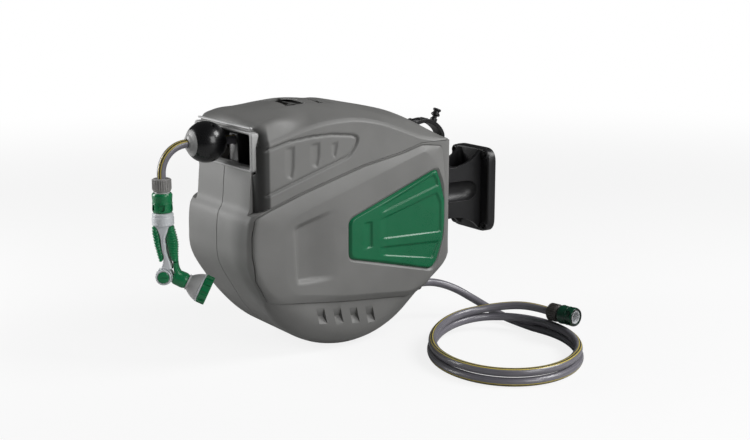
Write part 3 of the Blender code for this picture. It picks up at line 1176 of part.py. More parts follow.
def inlet_coupling(housing, end, heading, sleeve):
    """The quick coupling on the free end of the inlet hose."""
    flat = math.atan2(heading.y, heading.x)
    turn = (0.0, math.acos(max(-1.0, min(1.0, heading.z))), flat)
    start = end - heading * (NUT_LENGTH - NUT_DEPTH - 0.0012)
    coupling_nut("inlet_nut", housing, tuple(start), turn)
    body = start + heading * (NUT_LENGTH - NUT_DEPTH)
    coupler_body("inlet_coupler", housing, tuple(body), turn, PALE)
    coupler_collar("inlet_collar", sleeve, tuple(body + heading * COLLAR_START), turn, DEEP_GREEN)


def gun_tail(gun, top):
    """Pale threaded tail of the gun with the plug that clicks into the coupling."""
    tail = turned([
        (0.0035, 0.0), (0.0085, 0.0), (0.0078, -0.0155), (0.0170, -0.0175), (0.0185, -0.0205),
        (0.0175, -0.0225), (0.0190, -0.0240), (0.0190, -0.0370), (0.0170, -0.0390), (0.0035, -0.0390),
    ], 20)
    mesh_object("gun_cap", tail, PALE, gun, (0, 0, top))


def gun_section(x0, x1, half_depth, z, points=12):
    """An oval section of the gun's handle between two x, at one height."""
    middle, half = (x0 + x1) / 2, (x1 - x0) / 2
    ring = []
    for i in range(points):
        a = 2 * math.pi * i / points
        ring.append((middle + half * math.cos(a), half_depth * math.sin(a), z))
    return ring


# The gun's spine: its two edges in x, and how far below the grips' top
SPINE = (
    (-0.0120, 0.0120, 0.0), (-0.0070, 0.0080, 0.006), (-0.0042, 0.0042, 0.014), (-0.0020, 0.0056, 0.034),
    (0.0015, 0.0095, 0.052), (-0.0050, 0.0150, GRIP_LENGTH),
)


def spray_gun(gun, top):
    """The hanging spray gun: pale frame, two ribbed grips, elbow, bell and head ring."""
    gun_tail(gun, top)
    grip_top = top - 0.0396
    foot = grip_top - GRIP_LENGTH
    frame = [gun_section(x0, x1, 0.0123, grip_top - drop) for x0, x1, drop in SPINE]
    spine = mesh_object("gun_frame", loft(frame), PALE, gun)
    knob_z = foot - 0.0215
    hub = turned([(0.0, -0.0125), (0.0140, -0.0125), (0.0148, -0.0110), (0.0148, 0.0095), (0.0, 0.0095)], 20)
    boolean(spine, mesh_object("gun_hub", hub, PALE, gun, (0, 0, knob_z), ALONG_MINUS_Y), "UNION")
    neck = [
        gun_section(-0.0065, 0.0150, 0.0120, foot + 0.001),
        gun_section(-0.0100, 0.0150, 0.0122, foot - 0.010),
        gun_section(-0.0080, 0.0130, 0.0120, knob_z),
    ]
    boolean(spine, mesh_object("gun_neck", loft(neck), PALE, gun), "UNION")

    grips = (
        ("grip_back", -1, ((-0.0175, -0.0100), (-0.0180, -0.0060), (-0.0165, -0.0045), (-0.0150, -0.0035),
                           (-0.0125, -0.0015), (-0.0100, 0.0005), (-0.0070, -0.0030))),
        ("grip_front", 1, ((0.0100, 0.0180), (0.0062, 0.0205), (0.0046, 0.0230), (0.0052, 0.0245),
                           (0.0070, 0.0240), (0.0100, 0.0235), (0.0150, 0.0240))),
    )
    for name, sign, stations in grips:
        rings = []
        count = 14
        for i in range(count + 1):
            place_on = i / count * (len(stations) - 1)
            k = min(int(place_on), len(stations) - 2)
            t = place_on - k
            x0 = stations[k][0] * (1 - t) + stations[k + 1][0] * t
            x1 = stations[k][1] * (1 - t) + stations[k + 1][1] * t
            rib = 0.0009 if i % 2 else 0.0
            if sign > 0:
                x1 -= rib
            else:
                x0 += rib
            if sign > 0:
                x0 += GAP
            else:
                x1 -= GAP
            z = grip_top - GAP - (GRIP_LENGTH - 0.004) * i / count
            rings.append(gun_section(x0, x1, 0.0115 - rib * 0.5, z, 10))
        grip = mesh_object(name, loft(rings), GREEN, gun)
        room = 2 * GAP
        seat = [gun_section(x0 - room, x1 + room, 0.0200, grip_top - drop) for x0, x1, drop in SPINE]
        above = gun_section(-0.0120 - room, 0.0120 + room, 0.0200, grip_top + 0.002)
        below = gun_section(-0.0100 - room, 0.0150 + room, 0.0200, knob_z)
        boolean(grip, mesh_object(f"{name}_seat", loft([above] + seat + [below]), PALE, gun))
    return foot, knob_z


def spray_head(gun, foot, knob_z):
    """Elbow, bell and ring along the drooping head axis, with the pattern dial on the end."""
    turn = (0.0, math.pi / 2 + HEAD_DROP, 0.0)
    root = Vector((0.0185, 0.0, knob_z - 0.0020))
    along = Vector((math.cos(HEAD_DROP), 0.0, -math.sin(HEAD_DROP)))
    elbow = turned([
        (0.0, -0.0040), (0.0110, -0.0040), (0.0135, 0.0000), (0.0140, 0.0160), (0.0128, 0.0215), (0.0, 0.0215)
    ], 20)
    piece = mesh_object("gun_elbow", elbow, GREEN, gun, tuple(root), turn)
    riser = [
        gun_section(0.0152, 0.0240, 0.0100, foot + 0.0008, 12),
        gun_section(0.0158, 0.0255, 0.0105, foot - 0.006, 12),
        gun_section(0.0165, 0.0300, 0.0110, knob_z + 0.004, 12),
    ]
    boolean(piece, mesh_object("elbow_riser", loft(riser), GREEN, gun), "UNION")
    room = turned([(0.0, -0.03), (0.0152, -0.03), (0.0152, 0.03), (0.0, 0.03)], 20)
    boolean(piece, mesh_object("elbow_room", room, GREEN, gun, (0, 0, knob_z), ALONG_MINUS_Y))
    clear_neck = [
        gun_section(-0.02, 0.0154, 0.03, foot + 0.01, 12), gun_section(-0.02, 0.0154, 0.03, knob_z, 12)
    ]
    boolean(piece, mesh_object("elbow_neck_room", loft(clear_neck), GREEN, gun))

    bell_start = root + along * (0.0215 + GAP)
    bell = turned([
        (0.0, 0.0), (0.0135, 0.0), (0.0140, 0.0022), (0.0132, 0.0026), (0.0185, 0.0100), (0.0225, 0.0170),
        (BELL_RADIUS - 0.0006, 0.0225), (0.0, 0.0225),
    ], 24)
    mesh_object("spray_bell", bell, LIGHT_GREY, gun, tuple(bell_start), turn)
    ring_start = bell_start + along * (0.0225 + GAP)
    ring = turned([(0.0, 0.0), (BELL_RADIUS, 0.0), (BELL_RADIUS + 0.0004, 0.0028), (0.0, 0.0028)], 24)
    mesh_object("head_ring", ring, PALE, gun, tuple(ring_start), turn)
    dial_start = ring_start + along * (0.0028 + RUN / 2)
    outline = toothed(12, DIAL_RADIUS - 0.0012, DIAL_RADIUS, 0.50, 0.36)
    rings = [
        [(x, y, 0.0) for x, y in outline],
        [(x, y, DIAL_LENGTH - 0.0015) for x, y in outline],
        [(x * 0.95, y * 0.95, DIAL_LENGTH) for x, y in outline],
    ]
    cup = mesh_object("pattern_dial", loft(rings), GREEN, gun, tuple(dial_start), turn)
    dish = turned([(0.0, DIAL_LENGTH - 0.0040), (0.0205, DIAL_LENGTH - 0.0040), (0.0215, DIAL_LENGTH + 0.001),
                   (0.0, DIAL_LENGTH + 0.001)], 20)
    boolean(cup, mesh_object("dial_dish", dish, GREEN, gun, tuple(dial_start), turn))
    face_start = dial_start + along * (DIAL_LENGTH - 0.0040 + GAP)
    mesh_object(
        "dial_face", turned([(0.0, 0.0), (0.0200, 0.0), (0.0200, 0.0018), (0.0, 0.0018)], 20), GREEN, gun,
        tuple(face_start), turn
    )

    rim = turned([
        (0.0, 0.0), (KNOB_RADIUS - 0.0008, 0.0), (KNOB_RADIUS, 0.0012), (KNOB_RADIUS, 0.0042),
        (KNOB_RADIUS - 0.0026, 0.0050), (KNOB_RADIUS - 0.0030, 0.0032), (0.0, 0.0032),
    ], 20)
    mesh_object("flow_knob", rim, PALE, gun, (0, -0.0125 - RUN / 2, knob_z), ALONG_MINUS_Y)
    cap = turned([(0.0, 0.0), (KNOB_RADIUS - 0.0036, 0.0), (KNOB_RADIUS - 0.0040, 0.0016), (0.0, 0.0024)], 20)
    mesh_object("knob_cap", cap, GREEN, gun, (0, -0.0125 - RUN / 2 - 0.0032 - GAP, knob_z), ALONG_MINUS_Y)


def build():
    root = joint_empty("bracket_frame", None, (0, 0, 0))
    wall_bracket(root)
    hinge_pin(root)

    housing = joint_empty("swivel_axis", root, (0, HINGE_Y, 0))
    shell("shell_right", 1, housing)
    shell("shell_left", -1, housing)
    hood(housing)
    slot_frame(housing)
    side_panel("panel_right", 1, housing)
    side_panel("panel_left", -1, housing)
    rear_hinge(housing)
    gun_holder(housing)
    inlet_gland(housing)
    inner_fixed(housing)
    end_carriers(housing)

    drum(joint_empty("drum_axis", housing, (0, DRUM_Y, DRUM_Z)))
    middle = idler_centre()
    idler_axis = joint_empty("idler_axis", housing, (0, *middle))
    screw_axis = joint_empty("screw_axis", housing, (0, SCREW_Y, SCREW_Z))
    spur_gear("idler_gear", IDLER_TEETH, IDLER_POST + RUN, NATURAL, idler_axis, middle, idler_turn(middle))
    guide_screw(screw_axis)
    spur_gear("screw_gear", SCREW_TEETH, SHAFT_RADIUS + GAP, NATURAL, screw_axis, (SCREW_Y, SCREW_Z),
              screw_turn(middle))
    pawl(joint_empty("pawl_axis", housing, (0, *pawl_pivot())))

    rollers = {
        sign: joint_empty(f"roller_axis_{name}", housing, (sign * ROLLER_X, ROLLER_Y, 0))
        for name, sign in (("left", -1), ("right", 1))
    }
    slot_rollers(rollers)

    carriage = joint_empty("guide_slide", housing, (0, ROD_Y, SCREW_Z))
    guide(carriage)
    hose_lengths(carriage)
    stop_ball(carriage)
    sleeve = joint_empty("outlet_collar_slide", carriage, (0, BALL_Y, 0))
    hang_y, body_top = outlet_coupling(carriage, sleeve)
    gun = joint_empty("gun_axis", carriage, (0, hang_y, 0), GUN_HEADING)
    top = body_top - 0.0260
    foot, knob_z = spray_gun(gun, top)
    spray_head(gun, foot, knob_z)

    end, heading = inlet_hose(housing)
    inlet_coupling(housing, end, heading, joint_empty("inlet_collar_slide", housing, tuple(end)))


def idler_turn(middle):
    """Turns the idler so that a gap meets the drum gear's tooth on the line of centres."""
    return mesh_turn(Vector(CENTRE), middle, DRUM_TEETH, IDLER_TEETH, 0.0)


def screw_turn(middle):
    return mesh_turn(middle, Vector((SCREW_Y, SCREW_Z)), IDLER_TEETH, SCREW_TEETH, idler_turn(middle))


def mesh_turn(first, second, first_teeth, second_teeth, first_turn):
    """Turn of the second gear that meshes with the first, both seen in the gears' own plane."""
    way = second - first
    toward = math.atan2(way.x, -way.y)
    phase = ((toward - first_turn) / (2 * math.pi / first_teeth)) % 1.0
    pitch = 2 * math.pi / second_teeth
    return toward + math.pi + pitch * (0.5 + phase)


build()
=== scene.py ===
# %% [markdown]
# A retractable garden hose reel on a swivelling wall bracket.
#
# The imported model comes in first and stays as it is: it is the frame that every piece below sits in.
# Lengths are metres. The wall is the plane y = 0, the reel stands out towards -Y and its drum turns
# about an axis along X.

# %% Load the frame
import math

import bmesh
import bpy
import numpy as np
from mathutils import Matrix, Vector
from mathutils.bvhtree import BVHTree


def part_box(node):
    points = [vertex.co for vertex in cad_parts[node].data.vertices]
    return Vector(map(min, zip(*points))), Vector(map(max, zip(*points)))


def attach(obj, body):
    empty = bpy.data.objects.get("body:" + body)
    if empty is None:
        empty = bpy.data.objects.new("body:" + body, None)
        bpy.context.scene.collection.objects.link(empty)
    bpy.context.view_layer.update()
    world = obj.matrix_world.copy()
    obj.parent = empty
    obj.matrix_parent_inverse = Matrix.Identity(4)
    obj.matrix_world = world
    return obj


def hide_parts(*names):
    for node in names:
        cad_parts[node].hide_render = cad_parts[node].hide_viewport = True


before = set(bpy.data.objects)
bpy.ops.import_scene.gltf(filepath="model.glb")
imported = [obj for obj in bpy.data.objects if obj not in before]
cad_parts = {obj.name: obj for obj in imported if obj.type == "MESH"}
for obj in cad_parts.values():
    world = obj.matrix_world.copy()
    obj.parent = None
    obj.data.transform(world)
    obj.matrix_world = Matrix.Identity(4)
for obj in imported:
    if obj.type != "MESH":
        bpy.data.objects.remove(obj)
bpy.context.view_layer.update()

# %% [markdown]
# The camera stands to the right and in front of the reel, a little above it, with a long lens.
# Its place comes from fitting the edges of the wall plate, the slot and the housing to the photograph.

# %% Camera
CAMERA_PLACE = (1.96079, -1.59285, 0.46587)
CAMERA_TURN = (math.radians(78.0), 0.0, math.radians(55.5))
CAMERA_LENS = 61.44

scene = bpy.context.scene
camera_data = bpy.data.cameras.new("camera")
camera_data.lens = CAMERA_LENS
camera_data.sensor_width = 36.0
camera = bpy.data.objects.new("camera", camera_data)
camera.location = CAMERA_PLACE
camera.rotation_euler = CAMERA_TURN
scene.collection.objects.link(camera)
scene.camera = camera
scene.view_settings.view_transform = "Standard"
print("camera looks along", [round(x, 3) for x in camera.rotation_euler.to_matrix() @ Vector((0, 0, -1))])

# %% [markdown]
# Shader maths reads better as plain Python. Wire wraps a socket and overloads the operators that the
# finishes use. Finish holds one material, with a method that adds any node and shorter ones for the
# nodes that come up most. The world and the geometry tree further down use the same methods.

# %% Shader maths and the material builder
COAT_ROUGHNESS = 0.12
MOULD_EDGE, DRAWN_EDGE = 0.0009, 0.0004


class Wire:
    """One output socket of a material, so that an expression on values adds its Math nodes."""

    def __init__(self, finish, socket):
        self.finish, self.socket = finish, socket

    def maths(self, operation, other=0.0):
        return self.finish.node("ShaderNodeMath", {"operation": operation}, {0: self, 1: other})

    def __add__(self, other):
        return self.maths("ADD", other)

    def __sub__(self, other):
        return self.maths("SUBTRACT", other)

    def __mul__(self, other):
        return self.maths("MULTIPLY", other)

    __radd__, __rmul__ = __add__, __mul__

    def between(self, low, high, new_low=0.0, new_high=1.0):
        """Runs smoothly from new_low to new_high while the value goes from low to high."""
        return self.finish.node("ShaderNodeMapRange", {"interpolation_type": "SMOOTHSTEP"}, {
            "Value": self, "From Min": low, "From Max": high, "To Min": new_low, "To Max": new_high})


class Finish:
    """A material under construction around its Principled shader."""

    def __init__(self, name, roughness, metallic=0.0, coat=0.0):
        self.material = bpy.data.materials.new(name)
        self.material.use_nodes = True
        self.tree = self.material.node_tree
        self.shader = self.tree.nodes["Principled BSDF"]
        for title, value in {"Roughness": roughness, "Metallic": metallic, "Coat Weight": coat,
                             "Coat Roughness": COAT_ROUGHNESS}.items():
            self.shader.inputs[title].default_value = value

    def put(self, socket, value):
        if isinstance(value, Wire):
            self.tree.links.new(value.socket, socket)
        else:
            socket.default_value = value

    def node(self, kind, settings=None, values=None, out=0):
        made = self.tree.nodes.new(kind)
        for name, value in (settings or {}).items():
            setattr(made, name, value)
        for name, value in (values or {}).items():
            self.put(made.inputs[name], value)
        return Wire(self, made.outputs[out])

    def place(self):
        """The point on the piece in metres. Pieces sit at the origin, so this is the frame's own place."""
        return self.node("ShaderNodeTexCoord", out="Object")

    def stretched(self, vector, scale):
        return self.node("ShaderNodeVectorMath", {"operation": "MULTIPLY"}, {0: vector, 1: scale})

    def noise(self, vector, scale, detail=2.0, roughness=0.5):
        return self.node("ShaderNodeTexNoise", values={
            "Vector": vector, "Scale": scale, "Detail": detail, "Roughness": roughness})

    def blend(self, factor, *colours):
        """A colour between two, each a Wire or an (r, g, b)."""
        first, second = (c if isinstance(c, Wire) else (*c, 1.0) for c in colours)
        return self.node("ShaderNodeMix", {"data_type": "RGBA"}, {0: factor, 6: first, 7: second}, 2)

    def finish(self, colour, roughness, height, depth, edge=0.0):
        """Links what changes over the surface. An edge's radius rounds sharp edges in the shading."""
        self.put(self.shader.inputs["Base Color"], colour)
        self.put(self.shader.inputs["Roughness"], roughness)
        values = {"Strength": 1.0, "Distance": depth, "Height": height}
        if edge:
            values["Normal"] = self.node("ShaderNodeBevel", {"samples": 4}, {"Radius": edge})
        self.put(self.shader.inputs["Normal"], self.node("ShaderNodeBump", values=values))
        return self.material


# %% [markdown]
# Most of the reel is injection-moulded plastic. Its mould is spark-eroded, which leaves a fine grain,
# and the colour and gloss drift a little over a big part. The same recipe serves every plastic here,
# with its own colour, grain and gloss. The grain is a bump of fine noise, the drift a coarse noise.

# %% Moulded plastics


def moulded(name, colour, roughness=0.45, grain=900.0, depth=0.00012, drift=0.1, coat=0.0, band=None):
    """A grained plastic: colour is its linear (r, g, b), grain the texture's scale per metre.

    band is the name of a painted value and the colour that the plastic takes where it is 1.
    """
    finish = Finish(name, roughness, coat=coat)
    here = finish.place()
    fine = finish.noise(here, grain, 3.0, 0.6)
    cloud = finish.noise(here, 7.0, 3.0, 0.55)
    speck = finish.noise(here, grain * 0.45, 1.0)
    dark = tuple(c * (1 - drift) for c in colour)
    pale = tuple(min(1.0, c * (1 + drift) + 0.004) for c in colour)
    tone = finish.blend((cloud * 0.75 + fine * 0.25).between(0.3, 0.7), dark, pale)
    if band:
        share = finish.node("ShaderNodeAttribute", {"attribute_name": band[0]}, out="Fac")
        tone = finish.blend(share, tone, band[1])
    gloss = cloud.between(0.3, 0.7, roughness - 0.05, roughness + 0.06) + speck * 0.08 - 0.04
    return finish.finish(tone, gloss, fine, depth, MOULD_EDGE)


GREY = (0.215, 0.214, 0.208)
grey_plastic = moulded("grey_plastic", GREY)
frame_grey = moulded("frame_grey", (0.46, 0.46, 0.455), 0.38)
bright_grey = moulded("bright_grey", (0.66, 0.66, 0.66), 0.35)
black_plastic = moulded("black_plastic", (0.011, 0.011, 0.012), 0.36, 1100.0, 0.0001, 0.25)
green_plastic = moulded("green_plastic", (0.001, 0.155, 0.06), 0.32, 1000.0, 0.00008, 0.1, coat=0.1)
deep_green = moulded("deep_green", (0.003, 0.056, 0.028), 0.3, 1200.0, 0.00006, 0.12, coat=0.3)
pale_plastic = moulded("pale_plastic", (0.62, 0.635, 0.65), 0.34, 1200.0, 0.00006, 0.05)
natural_plastic = moulded("natural_plastic", (0.68, 0.66, 0.6), 0.42, 800.0, 0.00008, 0.06)
print("plastics:", grey_plastic.name, black_plastic.name, green_plastic.name)

# %% [markdown]
# The hose is soft PVC: grey with a slight violet cast, glossy, with a pair of yellow stripes drawn along
# it. The tube below carries a UV map: u runs along the hose in metres and v once round it, so the
# stripes are two narrow bands in v, and the faint lines left by the extruder are a noise stretched in u.

# %% Hose finish
HOSE_GREY = (0.205, 0.198, 0.225)
STRIPE_YELLOW = (0.62, 0.5, 0.1)


def hose_finish():
    finish = Finish("hose_pvc", 0.3, coat=0.35)
    uv = finish.node("ShaderNodeUVMap", {"uv_map": "UVMap"})
    round_it = finish.node("ShaderNodeSeparateXYZ", values={"Vector": uv}, out="Y")
    lines = finish.noise(finish.stretched(uv, (3.0, 46.0, 1.0)), 1.0, 3.0, 0.6)
    cloud = finish.noise(finish.place(), 16.0, 2.0)
    body = finish.blend((lines * 0.7 + cloud * 0.3).between(0.3, 0.7), tuple(c * 0.78 for c in HOSE_GREY),
                        tuple(c * 1.2 for c in HOSE_GREY))
    from_middle = (round_it - 0.5).maths("ABSOLUTE")
    stripe = (from_middle - 0.047).maths("ABSOLUTE").between(0.017, 0.024, 1.0, 0.0)
    dark_gap = from_middle.between(0.022, 0.028, 1.0, 0.0)
    worn = finish.blend(dark_gap, body, (0.055, 0.05, 0.05))
    colour = finish.blend(stripe * lines.between(0.2, 0.5, 0.75, 1.0), worn, STRIPE_YELLOW)
    gloss = lines.between(0.3, 0.7, 0.24, 0.36)
    return finish.finish(colour, gloss, lines * 0.6 + cloud * 0.4, 0.00025)


hose_pvc = hose_finish()

# %% [markdown]
# A hose is a tube swept along its centreline. Each ring stands square to the line, and the ring's
# frame is carried along without turning, so that the stripes run true. A twist turns them slowly, as
# they turn on a real hose that has been coiled by hand. The same weaving of rows into faces makes every
# other skin in this file.

# %% Sweeping a tube along a line
HOSE = 0.015


def smooth_line(points, spacing):
    """Points every so often along a smooth curve through the given ones (Catmull-Rom)."""
    knots = [Vector(p) for p in points]
    knots = [2 * knots[0] - knots[1]] + knots + [2 * knots[-1] - knots[-2]]
    made = [knots[1]]
    for a, b, c, d in zip(knots, knots[1:], knots[2:], knots[3:]):
        steps = max(1, round((c - b).length / spacing))
        for i in range(1, steps + 1):
            t = i / steps
            made.append(0.5 * (2 * b + (c - a) * t + (2 * a - 5 * b + 4 * c - d) * t * t
                               + (3 * b - a - 3 * c + d) * t * t * t))
    return made


def flat_curve(points, spacing=0.0025):
    """The same through points in a plane."""
    return [(p.x, p.y) for p in smooth_line([(*point, 0.0) for point in points], spacing)]


def line_length(points):
    return sum((b - a).length for a, b in zip(points, points[1:]))


def link(name, mesh, material):
    mesh.materials.append(material)
    piece = bpy.data.objects.new(name, mesh)
    scene.collection.objects.link(piece)
    return piece


def tidied(piece, sharp=35):
    """Doubles merged, faces outwards, smooth shading broken only at real edges."""
    bm = bmesh.new()
    bm.from_mesh(piece.data)
    bmesh.ops.remove_doubles(bm, verts=bm.verts, dist=1e-6)
    bmesh.ops.dissolve_degenerate(bm, edges=bm.edges, dist=1e-7)
    bmesh.ops.recalc_face_normals(bm, faces=bm.faces)
    bm.to_mesh(piece.data)
    bm.free()
    piece.data.shade_smooth()
    piece.data.set_sharp_from_angle(angle=math.radians(sharp))
    return piece


def woven(name, rows, material, centre=None, ends=True):
    """Closed rows of points joined by quads, with flat caps at the ends, or a point at the last."""
    count, last = len(rows[0]), (len(rows) - 1) * len(rows[0])
    verts = [tuple(p) for row in rows for p in row]
    faces = [(r + k, r + (k + 1) % count, r + count + (k + 1) % count, r + count + k)
             for r in range(0, last, count) for k in range(count)]
    if ends:
        faces.append(tuple(range(count))[::-1])
    if centre is not None:
        verts.append(tuple(centre))
        faces += [(last + k, last + (k + 1) % count, len(verts) - 1) for k in range(count)]
    elif ends:
        faces.append(tuple(last + k for k in range(count)))
    mesh = bpy.data.meshes.new(name)
    mesh.from_pydata(verts, [], faces)
    return link(name, mesh, material)


def swept(name, points, diameter, material, twist=None, sides=28):
    """A closed tube along points with its UV map. twist gives the stripes' angle at each share of length."""
    count, total = len(points), line_length(points)
    normal = Vector((0, 0, 1))
    rows, along = [], [0.0]
    for i, point in enumerate(points):
        tangent = (points[min(i + 1, count - 1)] - points[max(i - 1, 0)]).normalized()
        normal = (normal - tangent * normal.dot(tangent)).normalized()
        aside = tangent.cross(normal)
        if i:
            along.append(along[-1] + (point - points[i - 1]).length)
        turn = math.pi + (twist(along[-1] / total) if twist else 0.0)
        angles = [2 * math.pi * k / sides + turn for k in range(sides)]
        rows.append([point + (normal * math.cos(a) + aside * math.sin(a)) * diameter / 2 for a in angles])
    piece = woven(name, rows, material)
    uv = piece.data.uv_layers.new(name="UVMap")
    for face in piece.data.polygons:
        for corner, loop in zip(face.vertices, face.loop_indices):
            ring, k = divmod(corner, sides)
            seam = face.index < (count - 1) * sides and face.index % sides == sides - 1 and k == 0
            uv.data[loop].uv = (along[ring], 1.0 if seam else k / sides)
    return tidied(piece, 60)


# %% [markdown]
# The inlet hose joins the reel to the tap. It leaves the gland at the bottom of the housing's back,
# bends down to the surface that the reel stands over, and lies there in two loose oval turns that end
# in a quick coupling. Its points are the ones of the solid model, with the oval's turns from a formula:
# the layer climbs one hose thickness in the third quarter of each turn.

# %% Inlet hose
SURFACE_Z = -0.24
GLAND = Vector((0.045, -0.175, -0.165))
COIL_MIDDLE = Vector((0.303, -0.175))
COIL_LONG, COIL_SHORT = 0.166, 0.13
COIL_HEADING = math.radians(145.5)
COIL_START, COIL_END = 40, 765
COIL_RISE = HOSE + 0.0009
COIL_CLIMBS = ((250, 355, 1.0), (610, 715, 1.0), (700, 750, 0.66))
LOOP_POINTS = 90
GLAND_DEPTH = 0.026


def coil_point(degrees):
    """A point of the loose oval coil, drawn in a little where it lies on the turn below."""
    a = math.radians(degrees)
    long_way = Vector((math.cos(COIL_HEADING), math.sin(COIL_HEADING)))
    short_way = Vector((long_way.y, -long_way.x))
    layer = 0.0
    for first, last, rise in COIL_CLIMBS:
        t = min(1.0, max(0.0, (degrees - first) / (last - first)))
        layer += rise * t * t * (3 - 2 * t)
    inward = 0.0022 * layer
    flat = COIL_MIDDLE + (COIL_LONG - inward) * math.cos(a) * long_way
    flat += (COIL_SHORT - inward) * math.sin(a) * short_way
    return Vector((flat.x, flat.y, SURFACE_Z + HOSE / 2 + COIL_RISE * layer))


steps = round((COIL_END - COIL_START) / 360 * LOOP_POINTS)
turns = [coil_point(COIL_START + (COIL_END - COIL_START) * i / steps) for i in range(steps + 1)]
enter = (turns[1] - turns[0]).normalized()
leave = (turns[-1] - turns[-2]).normalized()
entry = turns[0] - enter * HOSE
lead = smooth_line([
    (GLAND.x, GLAND.y - GLAND_DEPTH, GLAND.z), (GLAND.x, -0.19, GLAND.z), (GLAND.x, -0.156, -0.1655),
    (0.0475, -0.125, -0.172), (0.06, -0.095, -0.185), (0.082, -0.07, -0.203),
    (0.112, -0.052, -0.219), (0.15, -0.043, -0.229), entry - enter * HOSE, entry,
], 0.006)
inlet_end = turns[-1] + leave * HOSE * 1.6
inlet_path = lead + turns + [turns[-1] + leave * HOSE * 0.8, inlet_end]
inlet_hose = swept(
    "inlet_hose", inlet_path, HOSE, hose_pvc,
    twist=lambda share: math.radians(-98) * (1 - min(1.0, max(0.0, (share - 0.45) / 0.22))),
)
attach(inlet_hose, "reel")
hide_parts("inlet_lead", "inlet_coil")
print(f"inlet hose: {line_length(inlet_path):.3f} m in {len(inlet_path)} points")

# %% [markdown]
# A short length of the same hose hangs out of the stop ball and carries the gun. It leaves the ball
# straight, bends down through a quarter circle of a little over three diameters and ends in the nut.

# %% Outlet hose
BALL_Y, HOSE_Z = -0.598, 0.14
BALL_RADIUS = 0.036
BEND_START, BEND_RADIUS = 0.0372, 0.048
NUT_TOP = 0.085
GUN_Y = BALL_Y - BEND_START - BEND_RADIUS


def quarter(steps):
    for i in range(steps + 1):
        a = math.pi / 2 * (1 + i / steps)
        yield Vector((0, BALL_Y - BEND_START + BEND_RADIUS * math.cos(a),
                      HOSE_Z - BEND_RADIUS + BEND_RADIUS * math.sin(a)))


outlet_path = [Vector((0, BALL_Y - 0.01, HOSE_Z)), Vector((0, BALL_Y - 0.024, HOSE_Z))]
outlet_path += list(quarter(18)) + [Vector((0, GUN_Y, NUT_TOP)), Vector((0, GUN_Y, NUT_TOP - 0.015))]
outlet_hose = swept("outlet_hose_fine", outlet_path, HOSE, hose_pvc, twist=lambda share: math.radians(-38))
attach(outlet_hose, "guide")
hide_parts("outlet_hose")
line_length(outlet_path)
print(f"outlet hose: {line_length(outlet_path):.3f} m")

# %% [markdown]
# The stage is a plain pale floor under soft studio light. The photograph's light comes from three
# sides: the right, low in front on the left, and behind above. So the housing's side is bright, its
# roof darker towards the front, and its belly dark. Each lamp's power was fitted to greys that were
# read off the photograph. The camera sees floor and world as nearly white; the floor keeps the shadow.

# %% Floor, world and lamps
FLOOR_SIZE = 30.0
FLOOR_WHITE = 0.84


def seen(finish):
    """1 for rays that show the background: from the camera, and on through glass."""
    rays = finish.tree.nodes.new("ShaderNodeLightPath")
    return Wire(finish, rays.outputs["Is Camera Ray"]) + Wire(finish, rays.outputs["Is Transmission Ray"])


def floor_material():
    finish = Finish("studio_floor", 0.9)
    here = finish.place()
    away = finish.node("ShaderNodeVectorMath", {"operation": "LENGTH"}, {0: here}, out="Value")
    ripple = finish.noise(here, 60.0, 3.0)
    look = seen(finish).between(0.0, 1.0)
    colour = finish.blend(look, (0.42, 0.42, 0.42), (0.9, 0.9, 0.9))
    finish.finish(colour, ripple.between(0.3, 0.7, 0.85, 0.95), ripple, 0.00005)
    glow = finish.node("ShaderNodeEmission", values={"Color": (1, 1, 1, 1), "Strength": 1.0})
    share = look * (FLOOR_WHITE + (1 - FLOOR_WHITE) * away.between(1.1, 3.5))
    mix = finish.node("ShaderNodeMixShader", values={
        0: share, 1: Wire(finish, finish.shader.outputs[0]), 2: glow})
    finish.put(finish.tree.nodes["Material Output"].inputs["Surface"], mix)
    return finish.material


floor_mesh = bpy.data.meshes.new("studio_floor")
half = FLOOR_SIZE / 2
floor_mesh.from_pydata(
    [(x, y, SURFACE_Z - 0.0004) for x, y in ((-half, -half), (half, -half), (half, half), (-half, half))],
    [], [(0, 1, 2, 3)],
)
floor = link("studio_floor", floor_mesh, floor_material())


class Sky(Finish):
    """The world's nodes, built with the same methods as a material."""

    def __init__(self, world):
        world.use_nodes = True
        self.tree = world.node_tree


world = bpy.data.worlds.new("studio")
scene.world = world
sky = Sky(world)
WORLD_LIGHT = 0.05
look = seen(sky).between(0.0, 1.0)
background = sky.tree.nodes["Background"]
background.inputs["Color"].default_value = (1, 1, 1, 1)
sky.put(background.inputs["Strength"], look * (1 - WORLD_LIGHT) + WORLD_LIGHT)


def lamp(name, place, aim, size, power):
    data = bpy.data.lights.new(name, "AREA")
    data.shape = "RECTANGLE"
    data.size, data.size_y = size
    data.energy = power
    made = bpy.data.objects.new(name, data)
    made.location = place
    made.rotation_euler = (Vector(aim) - Vector(place)).to_track_quat("-Z", "Y").to_euler()
    scene.collection.objects.link(made)


MIDDLE = (0.1, -0.35, -0.02)
lamp("key_right", (2.6, 0.1, 1.0), MIDDLE, (1.2, 1.6), 27.0)
lamp("left_front", (-1.15, -1.7, 0.5), (0.0, -0.5, 0.05), (0.8, 1.1), 23.0)
lamp("back_top", (1.3, 1.3, 1.7), MIDDLE, (1.2, 1.2), 44.0)

# %% [markdown]
# The housing is made of smooth moulded shells. Each is built as rows of points that follow its own
# edges, so that creases stay clean, and what is pressed into a face is a height that a formula gives
# at each point. These helpers measure how far a point lies inside an outline, round an outline's
# corners, join rows into a skin, and cut openings with booleans.

# %% Helpers for moulded shells


